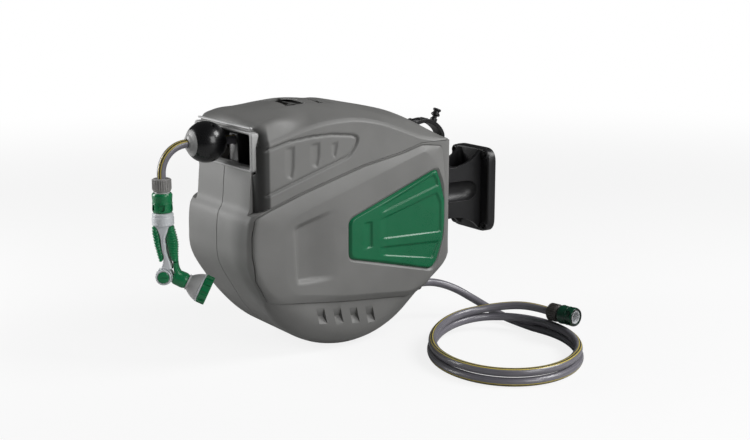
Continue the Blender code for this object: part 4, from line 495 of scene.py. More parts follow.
def rounded(outline, radius, steps=5, closed=True):
    """An outline with each corner replaced by a short curve. An open one keeps its two ends."""
    made = []
    for i, corner in enumerate(outline):
        if not closed and i in (0, len(outline) - 1):
            made.append(tuple(corner))
            continue
        here = Vector(corner)
        before, after = Vector(outline[i - 1]) - here, Vector(outline[(i + 1) % len(outline)]) - here
        start = here + before.normalized() * min(radius, before.length * 0.45)
        end = here + after.normalized() * min(radius, after.length * 0.45)
        for k in range(steps + 1):
            t = k / steps
            made.append(tuple(start * (1 - t) ** 2 + here * 2 * t * (1 - t) + end * t * t))
    return made


def arc(centre, radius, first, last, steps):
    angles = [math.radians(first + (last - first) * i / steps) for i in range(steps + 1)]
    return [(centre[0] + radius * math.cos(a), centre[1] + radius * math.sin(a)) for a in angles]


def inside(points, outline):
    """How far each point lies inside a closed outline, below zero outside it."""
    points = np.asarray(points, float)
    least = np.full(len(points), 1e9)
    odd = np.zeros(len(points), bool)
    corners = np.asarray(outline, float)
    for a, b in zip(corners, np.roll(corners, -1, axis=0)):
        side = b - a
        if side @ side < 1e-14:
            continue
        t = np.clip((points - a) @ side / (side @ side), 0, 1)
        least = np.minimum(least, np.linalg.norm(points - a - t[:, None] * side, axis=1))
        if a[1] != b[1]:
            over = (a[1] > points[:, 1]) != (b[1] > points[:, 1])
            odd ^= over & (points[:, 0] < a[0] + side[0] * (points[:, 1] - a[1]) / side[1])
    return np.where(odd, least, -least)


def ease(value, low, high):
    """0 below low, 1 above high, smooth between them."""
    t = np.clip((np.asarray(value, float) - low) / (high - low), 0, 1)
    return t * t * (3 - 2 * t)


def ray_reach(centre, directions, outline):
    """How far an outline is from a centre along each direction."""
    corners = np.asarray(outline, float) - np.asarray(centre, float)
    best = np.zeros(len(directions))
    for a, b in zip(corners, np.roll(corners, -1, axis=0)):
        side = b - a
        cross = directions[:, 0] * side[1] - directions[:, 1] * side[0]
        with np.errstate(divide="ignore", invalid="ignore"):
            reach = (a[0] * side[1] - a[1] * side[0]) / cross
            share = (a[0] * directions[:, 1] - a[1] * directions[:, 0]) / cross
        hit = np.isfinite(reach) & (reach > 0) & (share >= -1e-9) & (share <= 1 + 1e-9)
        best = np.where(hit, np.maximum(best, reach), best)
    return best


def mm(table):
    """Points written in millimetres: "12 4.5, 13 -6" is [(0.012, 0.0045), (0.013, -0.006)]."""
    return [tuple(float(number + "e-3") for number in point.split()) for point in table.split(",")]


def evenly(points, count, closed=True):
    """Points at even steps along a line. On a closed one the first isn't repeated."""
    points = np.array(points, float)
    if closed:
        points = np.vstack((points, points[:1]))
    along = np.concatenate(([0], np.cumsum(np.linalg.norm(np.diff(points, axis=0), axis=1))))
    at = np.linspace(0, along[-1], count, endpoint=not closed)
    return np.column_stack([np.interp(at, along, points[:, i]) for i in (0, 1)])


def skin(name, rows, material, centre=None, sharp=35, ends=True):
    """A clean piece from rows of points."""
    return tidied(woven(name, rows, material, centre, ends), sharp)


def applied(piece):
    """The piece with its modifiers worked into its mesh."""
    bpy.context.view_layer.update()
    evaluated = piece.evaluated_get(bpy.context.evaluated_depsgraph_get())
    mesh = bpy.data.meshes.new_from_object(evaluated)
    piece.modifiers.clear()
    old, piece.data = piece.data, mesh
    bpy.data.meshes.remove(old)
    return piece


def cut(*solids):
    return [("DIFFERENCE", solid) for solid in solids]


def add(*solids):
    return [("UNION", solid) for solid in solids]


def worked(piece, steps, sharp=35):
    """Cuts or joins other solids, given as (operation, solid), and removes those solids."""
    for operation, solid in steps:
        modifier = piece.modifiers.new(solid.name, "BOOLEAN")
        modifier.operation, modifier.solver, modifier.object = operation, "MANIFOLD", solid
    applied(piece)
    for _, solid in steps:
        bpy.data.objects.remove(solid)
    return tidied(piece, sharp)


def mirrored(piece, name):
    """A mirror image across the middle plane x = 0, with its faces turned outwards again."""
    mesh = piece.data.copy()
    mesh.transform(Matrix.Diagonal((-1, 1, 1, 1)))
    mesh.flip_normals()
    other = bpy.data.objects.new(name, mesh)
    scene.collection.objects.link(other)
    return other


def seat(piece, body, node=None):
    """Rides the piece on its body and lets it stand for its CAD node.

    The node is the piece's name without _fine, where no other is given and the frame has it.
    """
    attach(piece, body)
    node = node or piece.name.removesuffix("_fine")
    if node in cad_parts:
        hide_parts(node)
    return piece


def prism(axis, outline, low, high, name="prism"):
    """An outline pulled along an axis, 0 for x to 2 for z, between two places in either order."""
    rows = [[(*p[:axis], at, *p[axis:]) for p in outline] for at in sorted((low, high))]
    return skin(name, rows, grey_plastic)


def block(low, high):
    """A cutter from one corner to another."""
    (x0, y0, z0), (x1, y1, z1) = low, high
    return prism(2, [(x0, y0), (x1, y0), (x1, y1), (x0, y1)], z0, z1)


def triangles(piece):
    return sum(len(face.vertices) - 2 for face in piece.data.polygons)


# %% [markdown]
# The lower housing is two bowls that meet in the reel's middle plane. Seen from the side it is a round
# belly about the drum, with a belt across its front. Each bowl's side carries a raised cover with a
# sloping rim, a flat field, a scoop that is deepest towards the front, a pocket for the green panel
# and, below the cover, four slanted scoops moulded as closed vents. All rows run round the drum's axis,
# and a row lies on the cover's foot and another on the edge of its field, which keeps both sharp.

# %% Lower housing
DRUM_Y, DRUM_Z = -0.37, -0.04
CENTRE = np.array((DRUM_Y, DRUM_Z))
BODY_RADIUS, BODY_HALF = 0.199, 0.119
FRONT_Y, REAR_Y = -0.5615, -0.155
CORNER, HOOD_CORNER, WALL = 0.014, 0.024, 0.004
SIDE_STEP, PLATEAU = 0.0035, 0.0088
GAP = 0.0003
SLOT_HALF, SLOT_LOW, SLOT_HIGH, FRAME_LIP = 0.095, 0.103, 0.159, 0.006
PILLAR, UNDER_FRAME = SLOT_HALF + GAP, SLOT_LOW - FRAME_LIP - GAP
PAST_SIDE = BODY_HALF + 0.03
ROUND_COUNT = 420

# Outlines seen from the side, as (y, z): the body in three parts, the seam under the hood, the raised
# cover's foot and field, the panel's pocket and the scoop
BELLY = [(FRONT_Y + y, z) for y, z in mm(
    "0 140, 0 110, -4 70, -7.2 34, -10.5 25, -17.5 10, -20.5 -30, -16.5 -75")] + mm("-546 -133.5")
BACK = mm("-217.5 -168") + [(REAR_Y + y, z) for y, z in mm("-29 -135, -2.5 -100, 0 -60, 0 140")]
BODY = flat_curve(BELLY, 0.004)[:-1] + arc(CENTRE, BODY_RADIUS, 208, 320, 80) + flat_curve(BACK, 0.004)[1:]
SEAM = [
    (FRONT_Y - 0.03, 0.016), (FRONT_Y - 0.007, 0.025),
    *mm("-549.6 32, -479 56, -353 92, -269 108, -224 120.7"), (REAR_Y + 0.04, 0.1207),
]
SIDE_FOOT = mm(
    "-569 20.5, -550 29.5, -479 53.3, -353 89.3, -269 105.3, -224 117.8, -180 112, -170 50, -170 -50, "
    "-182 -100, -210 -148, -253 -160, -400 -148, -530 -133, -553 -126, -562 -113, -569 -85, -575.5 -43, "
    "-575 -8")
SIDE_FIELD = mm(
    "-510 6, -493 18.5, -460 30, -353 64, -269 91.5, -222 107, -200 86, -179 50, -179 -50, -192 -96, "
    "-218 -138, -253 -148, -400 -135, -490 -120, -504 -113, -512 -100, -516 -79, -518 -42, -517 -4")
PANEL = mm(
    "-387 -8, -384 -2, -378 2, -204 69, -195 70, -185 45, -176 10, -175.5 -30, -180 -64, -194 -101, "
    "-204 -112, -212 -113, -380 -73, -385.5 -69, -387 -62")
SCOOP = mm("-507 1, -430 23, -395 33, -395 -112, -499 -106")
SCOOP_DEPTH = 0.0078
STEP_PROFILE = mm("0.9 -1.1, 0.2 -1.2, -0.2 1.2, -0.6 2.4, -1.4 3.1") + [(-0.0028, SIDE_STEP)]
VENT_TOP, VENT_BEND, VENT_LOW, VENT_HALF, VENT_DEPTH = 0.017, 0.0015, -0.012, 0.0079, 0.008
VENT_COUNT, VENT_SLANT, VENT_PLACE, VENT_PITCH = 4, 0.24, (-0.442, -0.172), (0.0345, -0.0045)


def grown(outline, distance):
    """The outline moved outwards by a distance."""
    count = len(outline)
    area = sum(outline[i - 1][0] * outline[i][1] - outline[i][0] * outline[i - 1][1] for i in range(count))
    turn = 1 if area > 0 else -1
    made = []
    for i in range(count):
        before = (Vector(outline[i]) - Vector(outline[i - 1])).normalized()
        after = (Vector(outline[(i + 1) % count]) - Vector(outline[i])).normalized()
        first, second = Vector((before.y, -before.x)), Vector((after.y, -after.x))
        middle = (first + second).normalized()
        made.append(tuple(Vector(outline[i]) + turn * middle * distance / max(0.5, middle.dot(first))))
    return made


def scoop(places):
    """Depth of the scoop: walls on its front, top and bottom, running out to nothing at its rear."""
    d = inside(places, rounded(SCOOP, 0.012))
    run_out = 1 - ease(places[:, 0], -0.475, -0.408)
    front = ease(places[:, 0], -0.5085, -0.4865)
    walls = ease(places[:, 1] + 0.1085, 0.0, 0.016) * ease(d, 0.0, 0.012)
    return SCOOP_DEPTH * run_out * front * walls


def corner_radius(heights):
    """The bowl's corner radius, which grows towards the belly."""
    share = np.clip((-0.1 - heights) / 0.09, 0, 1)
    return CORNER + share * share * (3 - 2 * share) * 0.034


def around(x, reach, directions):
    """A row of points round the drum's axis."""
    return np.column_stack((np.full(len(directions), x), CENTRE + directions * reach[:, None]))


def shell_rows():
    """Rows of the right bowl's outside, from the middle plane out over the corner to the centre."""
    away = evenly(BODY, ROUND_COUNT) - CENTRE
    edge = np.linalg.norm(away, axis=1)
    directions = away / edge[:, None]
    foot = np.minimum(ray_reach(CENTRE, directions, rounded(SIDE_FOOT, 0.006)), edge - 0.004)
    field = ray_reach(CENTRE, directions, rounded(SIDE_FIELD, 0.007))
    corner = corner_radius(CENTRE[1] + directions[:, 1] * edge)

    def row(reach, height):
        lean = np.arccos(1 - np.clip((edge - reach) / corner, 0, 1))
        x = BODY_HALF - corner + corner * np.sin(lean) + height * np.sin(lean)
        return around(x, reach + height * np.cos(lean), directions)

    rows = [around(x, edge - drawn, directions) for x, drawn in (
        (GAP / 2, 0.0012), (0.0009, 0.0), (0.025, 0.0), (0.048, 0.0), (BODY_HALF - 0.05, 0.0))]
    rows.append(around(BODY_HALF - corner, edge, directions))
    for u in np.linspace(0.08, 1, 12):
        rows.append(row(edge - (edge - foot - 0.0014) * (1 - math.cos(u * math.pi / 2)), 0.0))
    for back, height in STEP_PROFILE:
        rows.append(row(foot + back, height))
    start = foot - 0.0028
    for u in np.linspace(0, 1, 15)[1:]:
        share = 1 - (1 - u) ** 1.25
        rows.append(row(start + (field - start) * u, SIDE_STEP + (PLATEAU - SIDE_STEP) * share))
    for u in np.linspace(0, 1, 78)[1:-1]:
        made = row(field * (1 - u), PLATEAU)
        made[:, 0] -= scoop(made[:, 1:])
        rows.append(made)
    return rows


def hollow_rows():
    """The bowl's inside, plainer: the same profile drawn in by the wall."""
    outline = np.array(BODY)[::4]
    outline[:, 0] = np.maximum(outline[:, 0], np.where(outline[:, 1] > -0.02, FRONT_Y + 0.001, -1.0))
    away = outline - CENTRE
    reach = np.linalg.norm(away, axis=1)
    corner = corner_radius(outline[:, 1]) - WALL
    rows = [around(-0.01, 1 - WALL / reach, away)]
    for t in np.linspace(0, math.pi / 2, 4):
        drawn = WALL + corner * (1 - math.cos(t))
        rows.append(around(BODY_HALF - WALL - corner + corner * math.sin(t), 1 - drawn / reach, away))
    return rows


def scoop_vents(piece):
    """Four slanted scoops: a shaded face above, a lit ramp below it, and more wall behind them."""
    mesh = piece.data
    tree = BVHTree.FromPolygons([v.co for v in mesh.vertices], [f.vertices for f in mesh.polygons])
    steps = []

    def solid(y, z, half, profile):
        """Across the vent's width, a profile of (height, depth under the surface)."""
        row = []
        for height, deep in profile:
            middle = y + 0.0021 - VENT_SLANT * height
            surface = tree.ray_cast(Vector((0.3, middle, z + height)), Vector((-1, 0, 0)))[0].x
            row.append((surface - deep, middle, z + height))
        return skin("vent", [[(x, at + side, h) for x, at, h in row] for side in (-half, half)], grey_plastic)

    for i in range(VENT_COUNT):
        y, z = (place + i * pitch for place, pitch in zip(VENT_PLACE, VENT_PITCH))
        back = [(0.019, 0.0015), (VENT_BEND, 0.0015), (-0.014, 0.0015),
                (-0.014, 0.006), (VENT_BEND, VENT_DEPTH + 0.003), (0.019, 0.006)]
        front = [(VENT_TOP + 0.0015, -0.02), (VENT_TOP, 0.0), (VENT_BEND, VENT_DEPTH),
                 (VENT_LOW, 0.0), (VENT_LOW - 0.0015, -0.02)]
        steps += add(solid(y, z, VENT_HALF + 0.002, back)) + cut(solid(y, z, VENT_HALF, front))
    return steps


def right_shell():
    top = [(REAR_Y + 0.04, 0.2), (FRONT_Y - 0.03, 0.2)]
    middle = [(FRONT_Y - 0.03, UNDER_FRAME), (-0.5, UNDER_FRAME), (-0.353, 0.1), *SEAM[-2:], *top]
    pocket, mouth = (
        skin("pocket", [[(x, y, z) for y, z in rounded(grown(PANEL, GAP + more), 0.004)] for x, more in ends],
             grey_plastic)
        for ends in (((BODY_HALF + SIDE_STEP - 0.0005, 0.0), (PAST_SIDE, 0.0)),
                     ((BODY_HALF + PLATEAU - 0.0032, 0.0), (BODY_HALF + PLATEAU + 0.001, 0.0056)))
    )
    piece = skin("shell_right_fine", shell_rows(), grey_plastic, (BODY_HALF + PLATEAU, *CENTRE))
    return worked(piece, cut(
        skin("hollow", hollow_rows(), grey_plastic), prism(0, SEAM + top, PILLAR, PAST_SIDE),
        prism(0, middle, -0.01, PILLAR + 0.001), pocket, mouth,
        prism(1, arc((GLAND.x, GLAND.z), 0.0123, 0, 345, 23), -0.26, -0.14),
    ) + scoop_vents(piece))


shell_right = right_shell()
shell_left = mirrored(shell_right, "shell_left_fine")
for piece in (shell_right, shell_left):
    seat(piece, "reel")
print("lower housing:", triangles(shell_right), "triangles a side")

# %% [markdown]
# The hood closes the housing from above. It is an arched cover whose section changes along the reel:
# upright sides, a crease that rises and falls along each side, and a softly flattened roof. Its front
# corners are rounded pillars beside the hose slot. Each side has a field framed by a groove, with three
# pockets pressed into it, and a hand grip is let into the roof with a bar across it.

# %% Hood
# At each place along the reel: the crest's height, the shoulder's height and the side's lean
ROOF = [
    (FRONT_Y, 0.1705, 0.145, 0.0035), (FRONT_Y + 0.0035, 0.177, 0.146, 0.0035),
    (FRONT_Y + 0.011, 0.184, 0.1475, 0.0035),
    *mm("-537.5 188 150.5 4, -505 196 159.5 4.5, -470 203 168 5, -435 206 174.5 5.5, -400 204.5 177.5 6, "
        "-360 199 176.5 6.5, -310 189 166.5 6.5, -267 180 151 6.5, -230 170 137 6.5, -197 156 129 6, "
        "-174 142 125 5"),
    (REAR_Y, 0.127, 0.1225, 0.004),
]
SIDE_LOW = 0.01
EDGE = 0.007
HOOD_WALL = 0.005
ROOF_CURVE = ((0.8, 0.3, 0.42), (0.62, 0.62, 0.2), (0.36, 0.88, 0.06), (0.16, 0.985, 0.01))
WINDOW = mm(
    "-600 122.5, -548 137, -505 149, -460 154, -415 155, -372 150, -360 144, -362 130, -379 108.5, "
    "-600 37.2")
HOOK_DEPTH, WINDOW_DEPTH, GROOVE_DEPTH = 0.0029, 0.0012, 0.0032
HOOKS = mm("-489.5 138.5 80 23, -438.5 141.5 95 25, -402 139.5 108 17")


def hood_half(y):
    """Half width of the hood: round front corners, tighter rear ones."""
    for into, corner in ((y - FRONT_Y, HOOD_CORNER), (REAR_Y - y, CORNER)):
        if into < corner:
            return BODY_HALF - corner + math.sqrt(max(0.0, corner**2 - (corner - into) ** 2))
    return BODY_HALF


def window(places):
    """How deep the side is pressed in: a framing groove, a slightly lower field and three pockets."""
    d = inside(places, rounded(WINDOW, 0.01))
    deep = WINDOW_DEPTH * ease(d, 0.0, 0.003) + GROOVE_DEPTH * np.exp(-((d - 0.003) / 0.0022) ** 2)
    for right, top, foot, width in HOOKS:
        left = right - width
        outline = [(left - 0.006, top - 0.002), (right, top), (right - 0.001, foot + 0.02),
                   (right - 0.006, foot), (left + 0.004, foot + 0.004), (left - 0.006, foot + 0.016)]
        d = inside(places, rounded(outline, 0.003))
        deep += HOOK_DEPTH * ease(d, 0.0, 0.0058) * ease(places[:, 0], left, right - 0.0085)
    return deep * ease(places[:, 0], FRONT_Y + 0.01, FRONT_Y + 0.022)


def hood_section(y, crest, shoulder, lean, shrink, fine):
    """The section's right half from its lower edge to the crest, as (x, z) points."""
    w = hood_half(y) - shrink
    crest, shoulder = crest - shrink, shoulder - shrink
    rise = crest - shoulder
    low = SIDE_LOW if fine else SIDE_LOW - 0.03
    side = [(w, z) for z in np.linspace(low, shoulder - EDGE, 84 if fine else 3)]
    for t in np.linspace(0, 1, 7 if fine else 3)[1:]:
        side.append((w - lean * t ** 1.2, shoulder - EDGE * (1 - t)))
    boxy = 1 - float(ease(y, FRONT_Y + 0.03, FRONT_Y + 0.115))
    top = [(w - lean, shoulder)]
    for share, height, square in ROOF_CURVE:
        top.append(((share + 0.07 * boxy * (share > 0.5)) * w, shoulder + (height + square * boxy) * rise))
    top.append((0.0, crest))
    spaced = flat_curve(top + [(-0.16 * w, top[-2][1])], 0.003 if fine else 0.03)
    last = min(range(len(spaced)), key=lambda i: abs(spaced[i][0]))
    return side + [tuple(p) for p in evenly(spaced[:last + 1], 34 if fine else 6, False)[1:]]


def hood_rows(shrink=0.0, fine=True):
    crests, shoulders = (np.array(flat_curve([(row[0], row[i]) for row in ROOF], 0.002)) for i in (1, 2))
    stations = np.array(ROOF)
    if fine:
        front = [FRONT_Y + 0.003 * t * t for t in np.linspace(0, 1, 5)]
        ys = front + list(np.arange(FRONT_Y + 0.005, REAR_Y - 0.006, 0.0018))
        ys += [REAR_Y - 0.006 * t * t for t in np.linspace(1, 0, 6)]
    else:
        ys = [y for y, _, _, _ in ROOF]
    rows = []
    for i, y in enumerate(ys):
        crest, shoulder = (np.interp(y, line[:, 0], line[:, 1]) for line in (crests, shoulders))
        lean = np.interp(y, stations[:, 0], stations[:, 3])
        at = y + shrink if i == 0 else y - shrink if i == len(ys) - 1 else y
        right = [(x, at, z) for x, z in hood_section(y, crest, shoulder, lean, shrink, fine)]
        rows.append(np.array(right + [(-x, y0, z) for x, y0, z in right[-2::-1]]))
    return rows


def dish(x, y):
    """The shallow dish in the roof in front of the hand grip, and the low step round the bar."""
    across = 1 - ease(np.abs(x), 0.04, 0.056)
    return 0.0035 * across * ease(y, -0.522, -0.474) * (1 - ease(y, -0.378, -0.366))


def pressed_rows():
    """The hood's outside with everything that is pressed into it, and where the painted shade of its front
    corners lies.
    """
    rows, dark = hood_rows(), []
    for row in rows:
        flat = np.abs(np.abs(row[:, 0]) - hood_half(row[0, 1])) < 0.0045
        row[:, 0] -= np.sign(row[:, 0]) * window(row[:, 1:]) * flat
        row[:, 2] -= dish(row[:, 0], row[:, 1]) * (row[:, 2] > 0.185)
        # The band down each front corner is painted shade: the corner stands out of the light, so it is
        # darkened here
        band = 1 - ease(row[:, 1], FRONT_Y + 0.0195, FRONT_Y + 0.0235)
        dark += list(band * ease(np.abs(row[:, 0]), 0.0945, 0.0975) * (1 - ease(row[:, 2], 0.158, 0.178)))
    return rows, dark


def hood_cover():
    rows, dark = pressed_rows()
    piece = woven("hood_fine", rows, hood_plastic_painted_shade)
    piece.data.attributes.new("pillar", "FLOAT", "POINT").data.foreach_set("value", dark)
    tidied(piece)
    pillar, under_frame = SLOT_HALF + 2 * GAP, SLOT_LOW - FRAME_LIP
    foot = [(REAR_Y + 0.04, -0.06), (FRONT_Y - 0.03, -0.06)]
    below = [(y, z + 3 * GAP) for y, z in SEAM] + foot
    middle = [(FRONT_Y - 0.03, under_frame), (-0.5, under_frame), (-0.353, 0.1006), (-0.224, 0.1213),
              (REAR_Y + 0.04, 0.1213), *foot]
    mouth = rounded(mm("-105.3 92.7, 105.3 92.7, 105.3 165.3, -105.3 165.3"), 0.008)
    grips = []
    for low, high in mm("-462 -423, -396 -384"):
        gap = rounded([(-0.05, low), (0.05, low), (0.05, high), (-0.05, high)], 0.006)
        grips.append(prism(2, gap, 0.18, 0.23))
    return worked(piece, cut(
        skin("hood_hollow", hood_rows(HOOD_WALL, False), grey_plastic),
        *[prism(0, below, sign * pillar, sign * PAST_SIDE) for sign in (1, -1)],
        prism(0, middle, -pillar - 0.001, pillar + 0.001),
        prism(1, mouth, FRONT_Y - 0.02, FRONT_Y + 0.0128),
    ) + add(block((-0.0562, -0.4702, 0.164), (0.0562, -0.3738, 0.1945)))
        + cut(block((-0.053, -0.467, 0.1665), (0.053, -0.377, 0.1935)), *grips))


# The housing's grey, with a painted shade darkening the band that runs down the front corners
hood_plastic_painted_shade = moulded("hood_plastic_painted_shade", GREY, band=("pillar", (0.04, 0.04, 0.039)))
hood = seat(hood_cover(), "reel")
print("hood:", triangles(hood), "triangles")

# %% [markdown]
# The hose slot has a pale bezel whose mouth is chamfered for the stop ball, and a bright trim strip
# stands over it on the hood. The bezel is a closed stack of rounded loops, each a step of its section,
# so that the section runs round the corners unchanged. The strip is a rounded profile pulled along X
# and drawn in at its ends.

# %% Slot bezel and trim strip
FRAME_RIM, FRAME_PROUD, FRAME_DEPTH = 0.01, 0.0055, 0.018


def slot_loop(rim, lip, radius, y):
    outline = []
    half, low, high = SLOT_HALF + rim, SLOT_LOW - lip, SLOT_HIGH + lip
    for (x, z), first in (((half - radius, high - radius), 0), ((radius - half, high - radius), 90),
                          ((radius - half, low + radius), 180), ((half - radius, low + radius), 270)):
        outline += arc((x, z), radius, first, first + 90, 8)
    return [(x, y, z) for x, z in outline]


front = FRONT_Y - FRAME_PROUD
loops = [(FRAME_RIM, FRAME_LIP, 0.008, front + FRAME_DEPTH), (FRAME_RIM, FRAME_LIP, 0.008, front + 0.002)]
loops += [(FRAME_RIM - 0.0018 * (1 - math.cos(t)), FRAME_LIP - 0.0018 * (1 - math.cos(t)), 0.0075,
           front + 0.0018 * (1 - math.sin(t))) for t in np.linspace(0.3, math.pi / 2, 5)]
loops += [(0.0038, 0.0038, 0.0065, front), (0.003, 0.003, 0.006, front + 0.0002),
          (0.0002, 0.0002, 0.0048, front + 0.0042), (0.0, 0.0, 0.0045, front + 0.0056),
          (0.0, 0.0, 0.0045, front + FRAME_DEPTH)]
rows = [slot_loop(*loop) for loop in loops]
bezel = skin("slot_bezel", rows + rows[:1], frame_grey, ends=False)
seat(bezel, "reel", "slot_frame")


def bar_rows(profile, stations):
    """A bar along X: a (y, z) profile about its middle, scaled at each station (x, share)."""
    middle = np.mean(profile, axis=0)
    return [[(x, *(middle + (np.array(p) - middle) * share)) for p in profile] for x, share in stations]


TRIM_Z = SLOT_HIGH + FRAME_LIP + 0.0062
trim_profile = rounded([
    (FRONT_Y - 0.0036, TRIM_Z - 0.0016), (FRONT_Y + 0.003, TRIM_Z - 0.003),
    (FRONT_Y + 0.003, TRIM_Z + 0.001), (FRONT_Y - 0.0024, TRIM_Z + 0.0016),
], 0.0012, 3)
trim_ends = ((-SLOT_HALF, 0.5), (0.0012 - SLOT_HALF, 1.0), (SLOT_HALF - 0.0012, 1.0), (SLOT_HALF, 0.5))
trim = skin("brow_trim", bar_rows(trim_profile, trim_ends), bright_grey)
seat(trim, "reel")
print("bezel:", triangles(bezel), "trim:", triangles(trim), "triangles")

# %% [markdown]
# A green panel is let into each side. It is a plate with a soft edge, a hooked pocket near its front
# and three sunk fields that run back from a fading start, with narrow ribs left between them. It is
# made like the housing's side: rings that follow its outline, and a height at each point.

# %% Green side panels
PANEL_MIDDLE, PANEL_COUNT = np.array((-0.285, -0.02)), 300
PANEL_BACK = BODY_HALF + SIDE_STEP - 0.0005 + GAP
PANEL_FRONT = BODY_HALF + PLATEAU + 0.0012
FIELDS = (
    mm("-330 14, -204 64, -196 56, -191.5 40, -330 -1"),
    mm("-330 -8, -195 30, -185 8, -185 -48, -330 -44.5"),
    mm("-330 -56, -188 -62, -204 -96, -330 -73"),
)
FIELD_DEPTH = 0.0024
PANEL_RIM = mm("4.2 0, 3.7 0.5, 0.9 3.6, 0.3 4.4, 0 5.6")


def panel_depth(places):
    deep = np.zeros(len(places))
    for field in FIELDS:
        d = inside(places, rounded(field, 0.004))
        deep = np.maximum(deep, FIELD_DEPTH * ease(d, 0, 0.0042) * ease(places[:, 0], -0.327, -0.306))
    hook = mm("-364 -8, -338 -8, -338 -56, -364 -61")
    d = inside(places, rounded(hook, 0.003))
    return deep + 0.0026 * ease(d, 0, 0.004) * ease(places[:, 0], -0.362, -0.342)


def panel_piece():
    edge = evenly(rounded(PANEL, 0.004, 6), PANEL_COUNT)
    away = PANEL_MIDDLE - edge
    reach = np.linalg.norm(away, axis=1)[:, None]
    rows = [np.column_stack((np.full(PANEL_COUNT, x), edge + away / reach * drawn))
            for x, drawn in [(PANEL_BACK, 0.0)] + [(PANEL_FRONT - low, drawn) for low, drawn in PANEL_RIM]]
    margin = PANEL_RIM[-1][1]
    for u in np.linspace(0, 1, 64)[1:-1]:
        places = edge + away / reach * (margin + (reach - margin) * u)
        rows.append(np.column_stack((PANEL_FRONT - panel_depth(places), places)))
    middle = (PANEL_FRONT - panel_depth(PANEL_MIDDLE[None])[0], *PANEL_MIDDLE)
    return skin("panel_right_fine", rows, green_plastic, middle)


panel_right = panel_piece()
panel_left = mirrored(panel_right, "panel_left_fine")
for piece in (panel_right, panel_left):
    seat(piece, "reel")
print("panels:", triangles(panel_right), "triangles each")

# %% [markdown]
# Steel is only in the hinge, the axle, the guide and the spring. It is drawn or rolled, so its finish
# is a noise that is stretched along the piece: fine lines in the gloss and in the bump, and a little
# dull film. One recipe serves the bright plated parts and the blued spring strip.

# %% Steel finishes


def drawn_steel(name, colour, roughness, stretch=(60.0, 2200.0, 2200.0)):
    """A drawn metal: stretch is the scale of its lines along x, y and z."""
    finish = Finish(name, roughness, metallic=1.0)
    here = finish.place()
    lines = finish.noise(finish.stretched(here, stretch), 1.0, 3.0, 0.6)
    film = finish.noise(here, 45.0, 4.0, 0.6)
    dull = tuple(c * 0.72 for c in colour)
    tone = finish.blend(film.between(0.45, 0.75), colour, dull)
    gloss = lines.between(0.3, 0.7, roughness - 0.08, roughness + 0.1) + film.between(0.5, 0.8, 0.0, 0.15)
    return finish.finish(tone, gloss, lines, 0.00003, DRAWN_EDGE)


plated_steel = drawn_steel("plated_steel", (0.56, 0.57, 0.58), 0.28)
turned_steel = drawn_steel("turned_steel", (0.42, 0.42, 0.43), 0.34, (900.0, 900.0, 900.0))
spring_steel = drawn_steel("spring_steel", (0.16, 0.18, 0.24), 0.34, (2200.0, 150.0, 150.0))
print("steels:", plated_steel.name, turned_steel.name, spring_steel.name)

# %% [markdown]
# Many pieces are turned, or round with a pattern that repeats: ribs on a nut, flutes on a dial. The
# round body is a profile spun about its axis. What repeats is laid out by Geometry Nodes: one tree puts
# copies in a ring, with the count, the radius, the first angle, the copy and its finish as named inputs.
# The copies are realized, given their finish and taken out as a plain mesh, to be joined to the body
# or cut from it.

# %% Turned bodies and repeated details


def lathe(name, profile, material, segments=72):
    """A piece turned about Z from (radius, height) points. A profile that starts off the axis is a ring."""
    if profile[0][0] > 0:
        profile = list(profile) + [profile[0]]
    angles = [2 * math.pi * k / segments for k in range(segments)]
    rows = [[(r * math.cos(a), r * math.sin(a), h) for a in angles] for r, h in profile]
    return skin(name, rows, material, sharp=30, ends=False)


def eased(profile, radius, steps=3):
    """An open profile with its inner corners rounded."""
    return rounded(profile, radius, steps, closed=False)


def facing(place, direction=(0, 0, 1)):
    """The matrix that stands a piece made along +Z at a place, pointing in a direction."""
    turn = Vector(direction).to_track_quat("Z", "Y").to_matrix().to_4x4()
    return Matrix.Translation(Vector(place)) @ turn


def placed(piece, matrix):
    """Works a place and a turn into the piece's mesh, so that its object stays at the origin."""
    piece.data.transform(matrix)
    return piece


def turned(node, profile, material, body, stand, steps=(), segments=72, sharp=30):
    """A turned piece in its place on its body, with what is joined to it and cut from it first."""
    piece = lathe(f"{node}_fine", profile, material, segments)
    if steps:
        worked(piece, steps, sharp)
    return seat(placed(piece, stand), body)


def rod(radius, reach, place, direction=(0, 0, 1), segments=48):
    """A round cutter that reaches equally far both ways from its place."""
    profile = [(0.0, -reach), (radius, -reach), (radius, reach), (0.0, reach)]
    return placed(lathe("rod", profile, grey_plastic, segments), facing(place, direction))


class Layout(Finish):
    """A geometry tree with named inputs, built with the same methods as a material."""

    def __init__(self, name):
        self.tree = bpy.data.node_groups.new(name, "GeometryNodeTree")
        self.tree.interface.new_socket("Geometry", in_out="OUTPUT", socket_type="NodeSocketGeometry")
        self.entry = self.tree.nodes.new("NodeGroupInput")

    def input(self, name, kind):
        self.tree.interface.new_socket(name, in_out="INPUT", socket_type="NodeSocket" + kind)
        return Wire(self, self.entry.outputs[name])


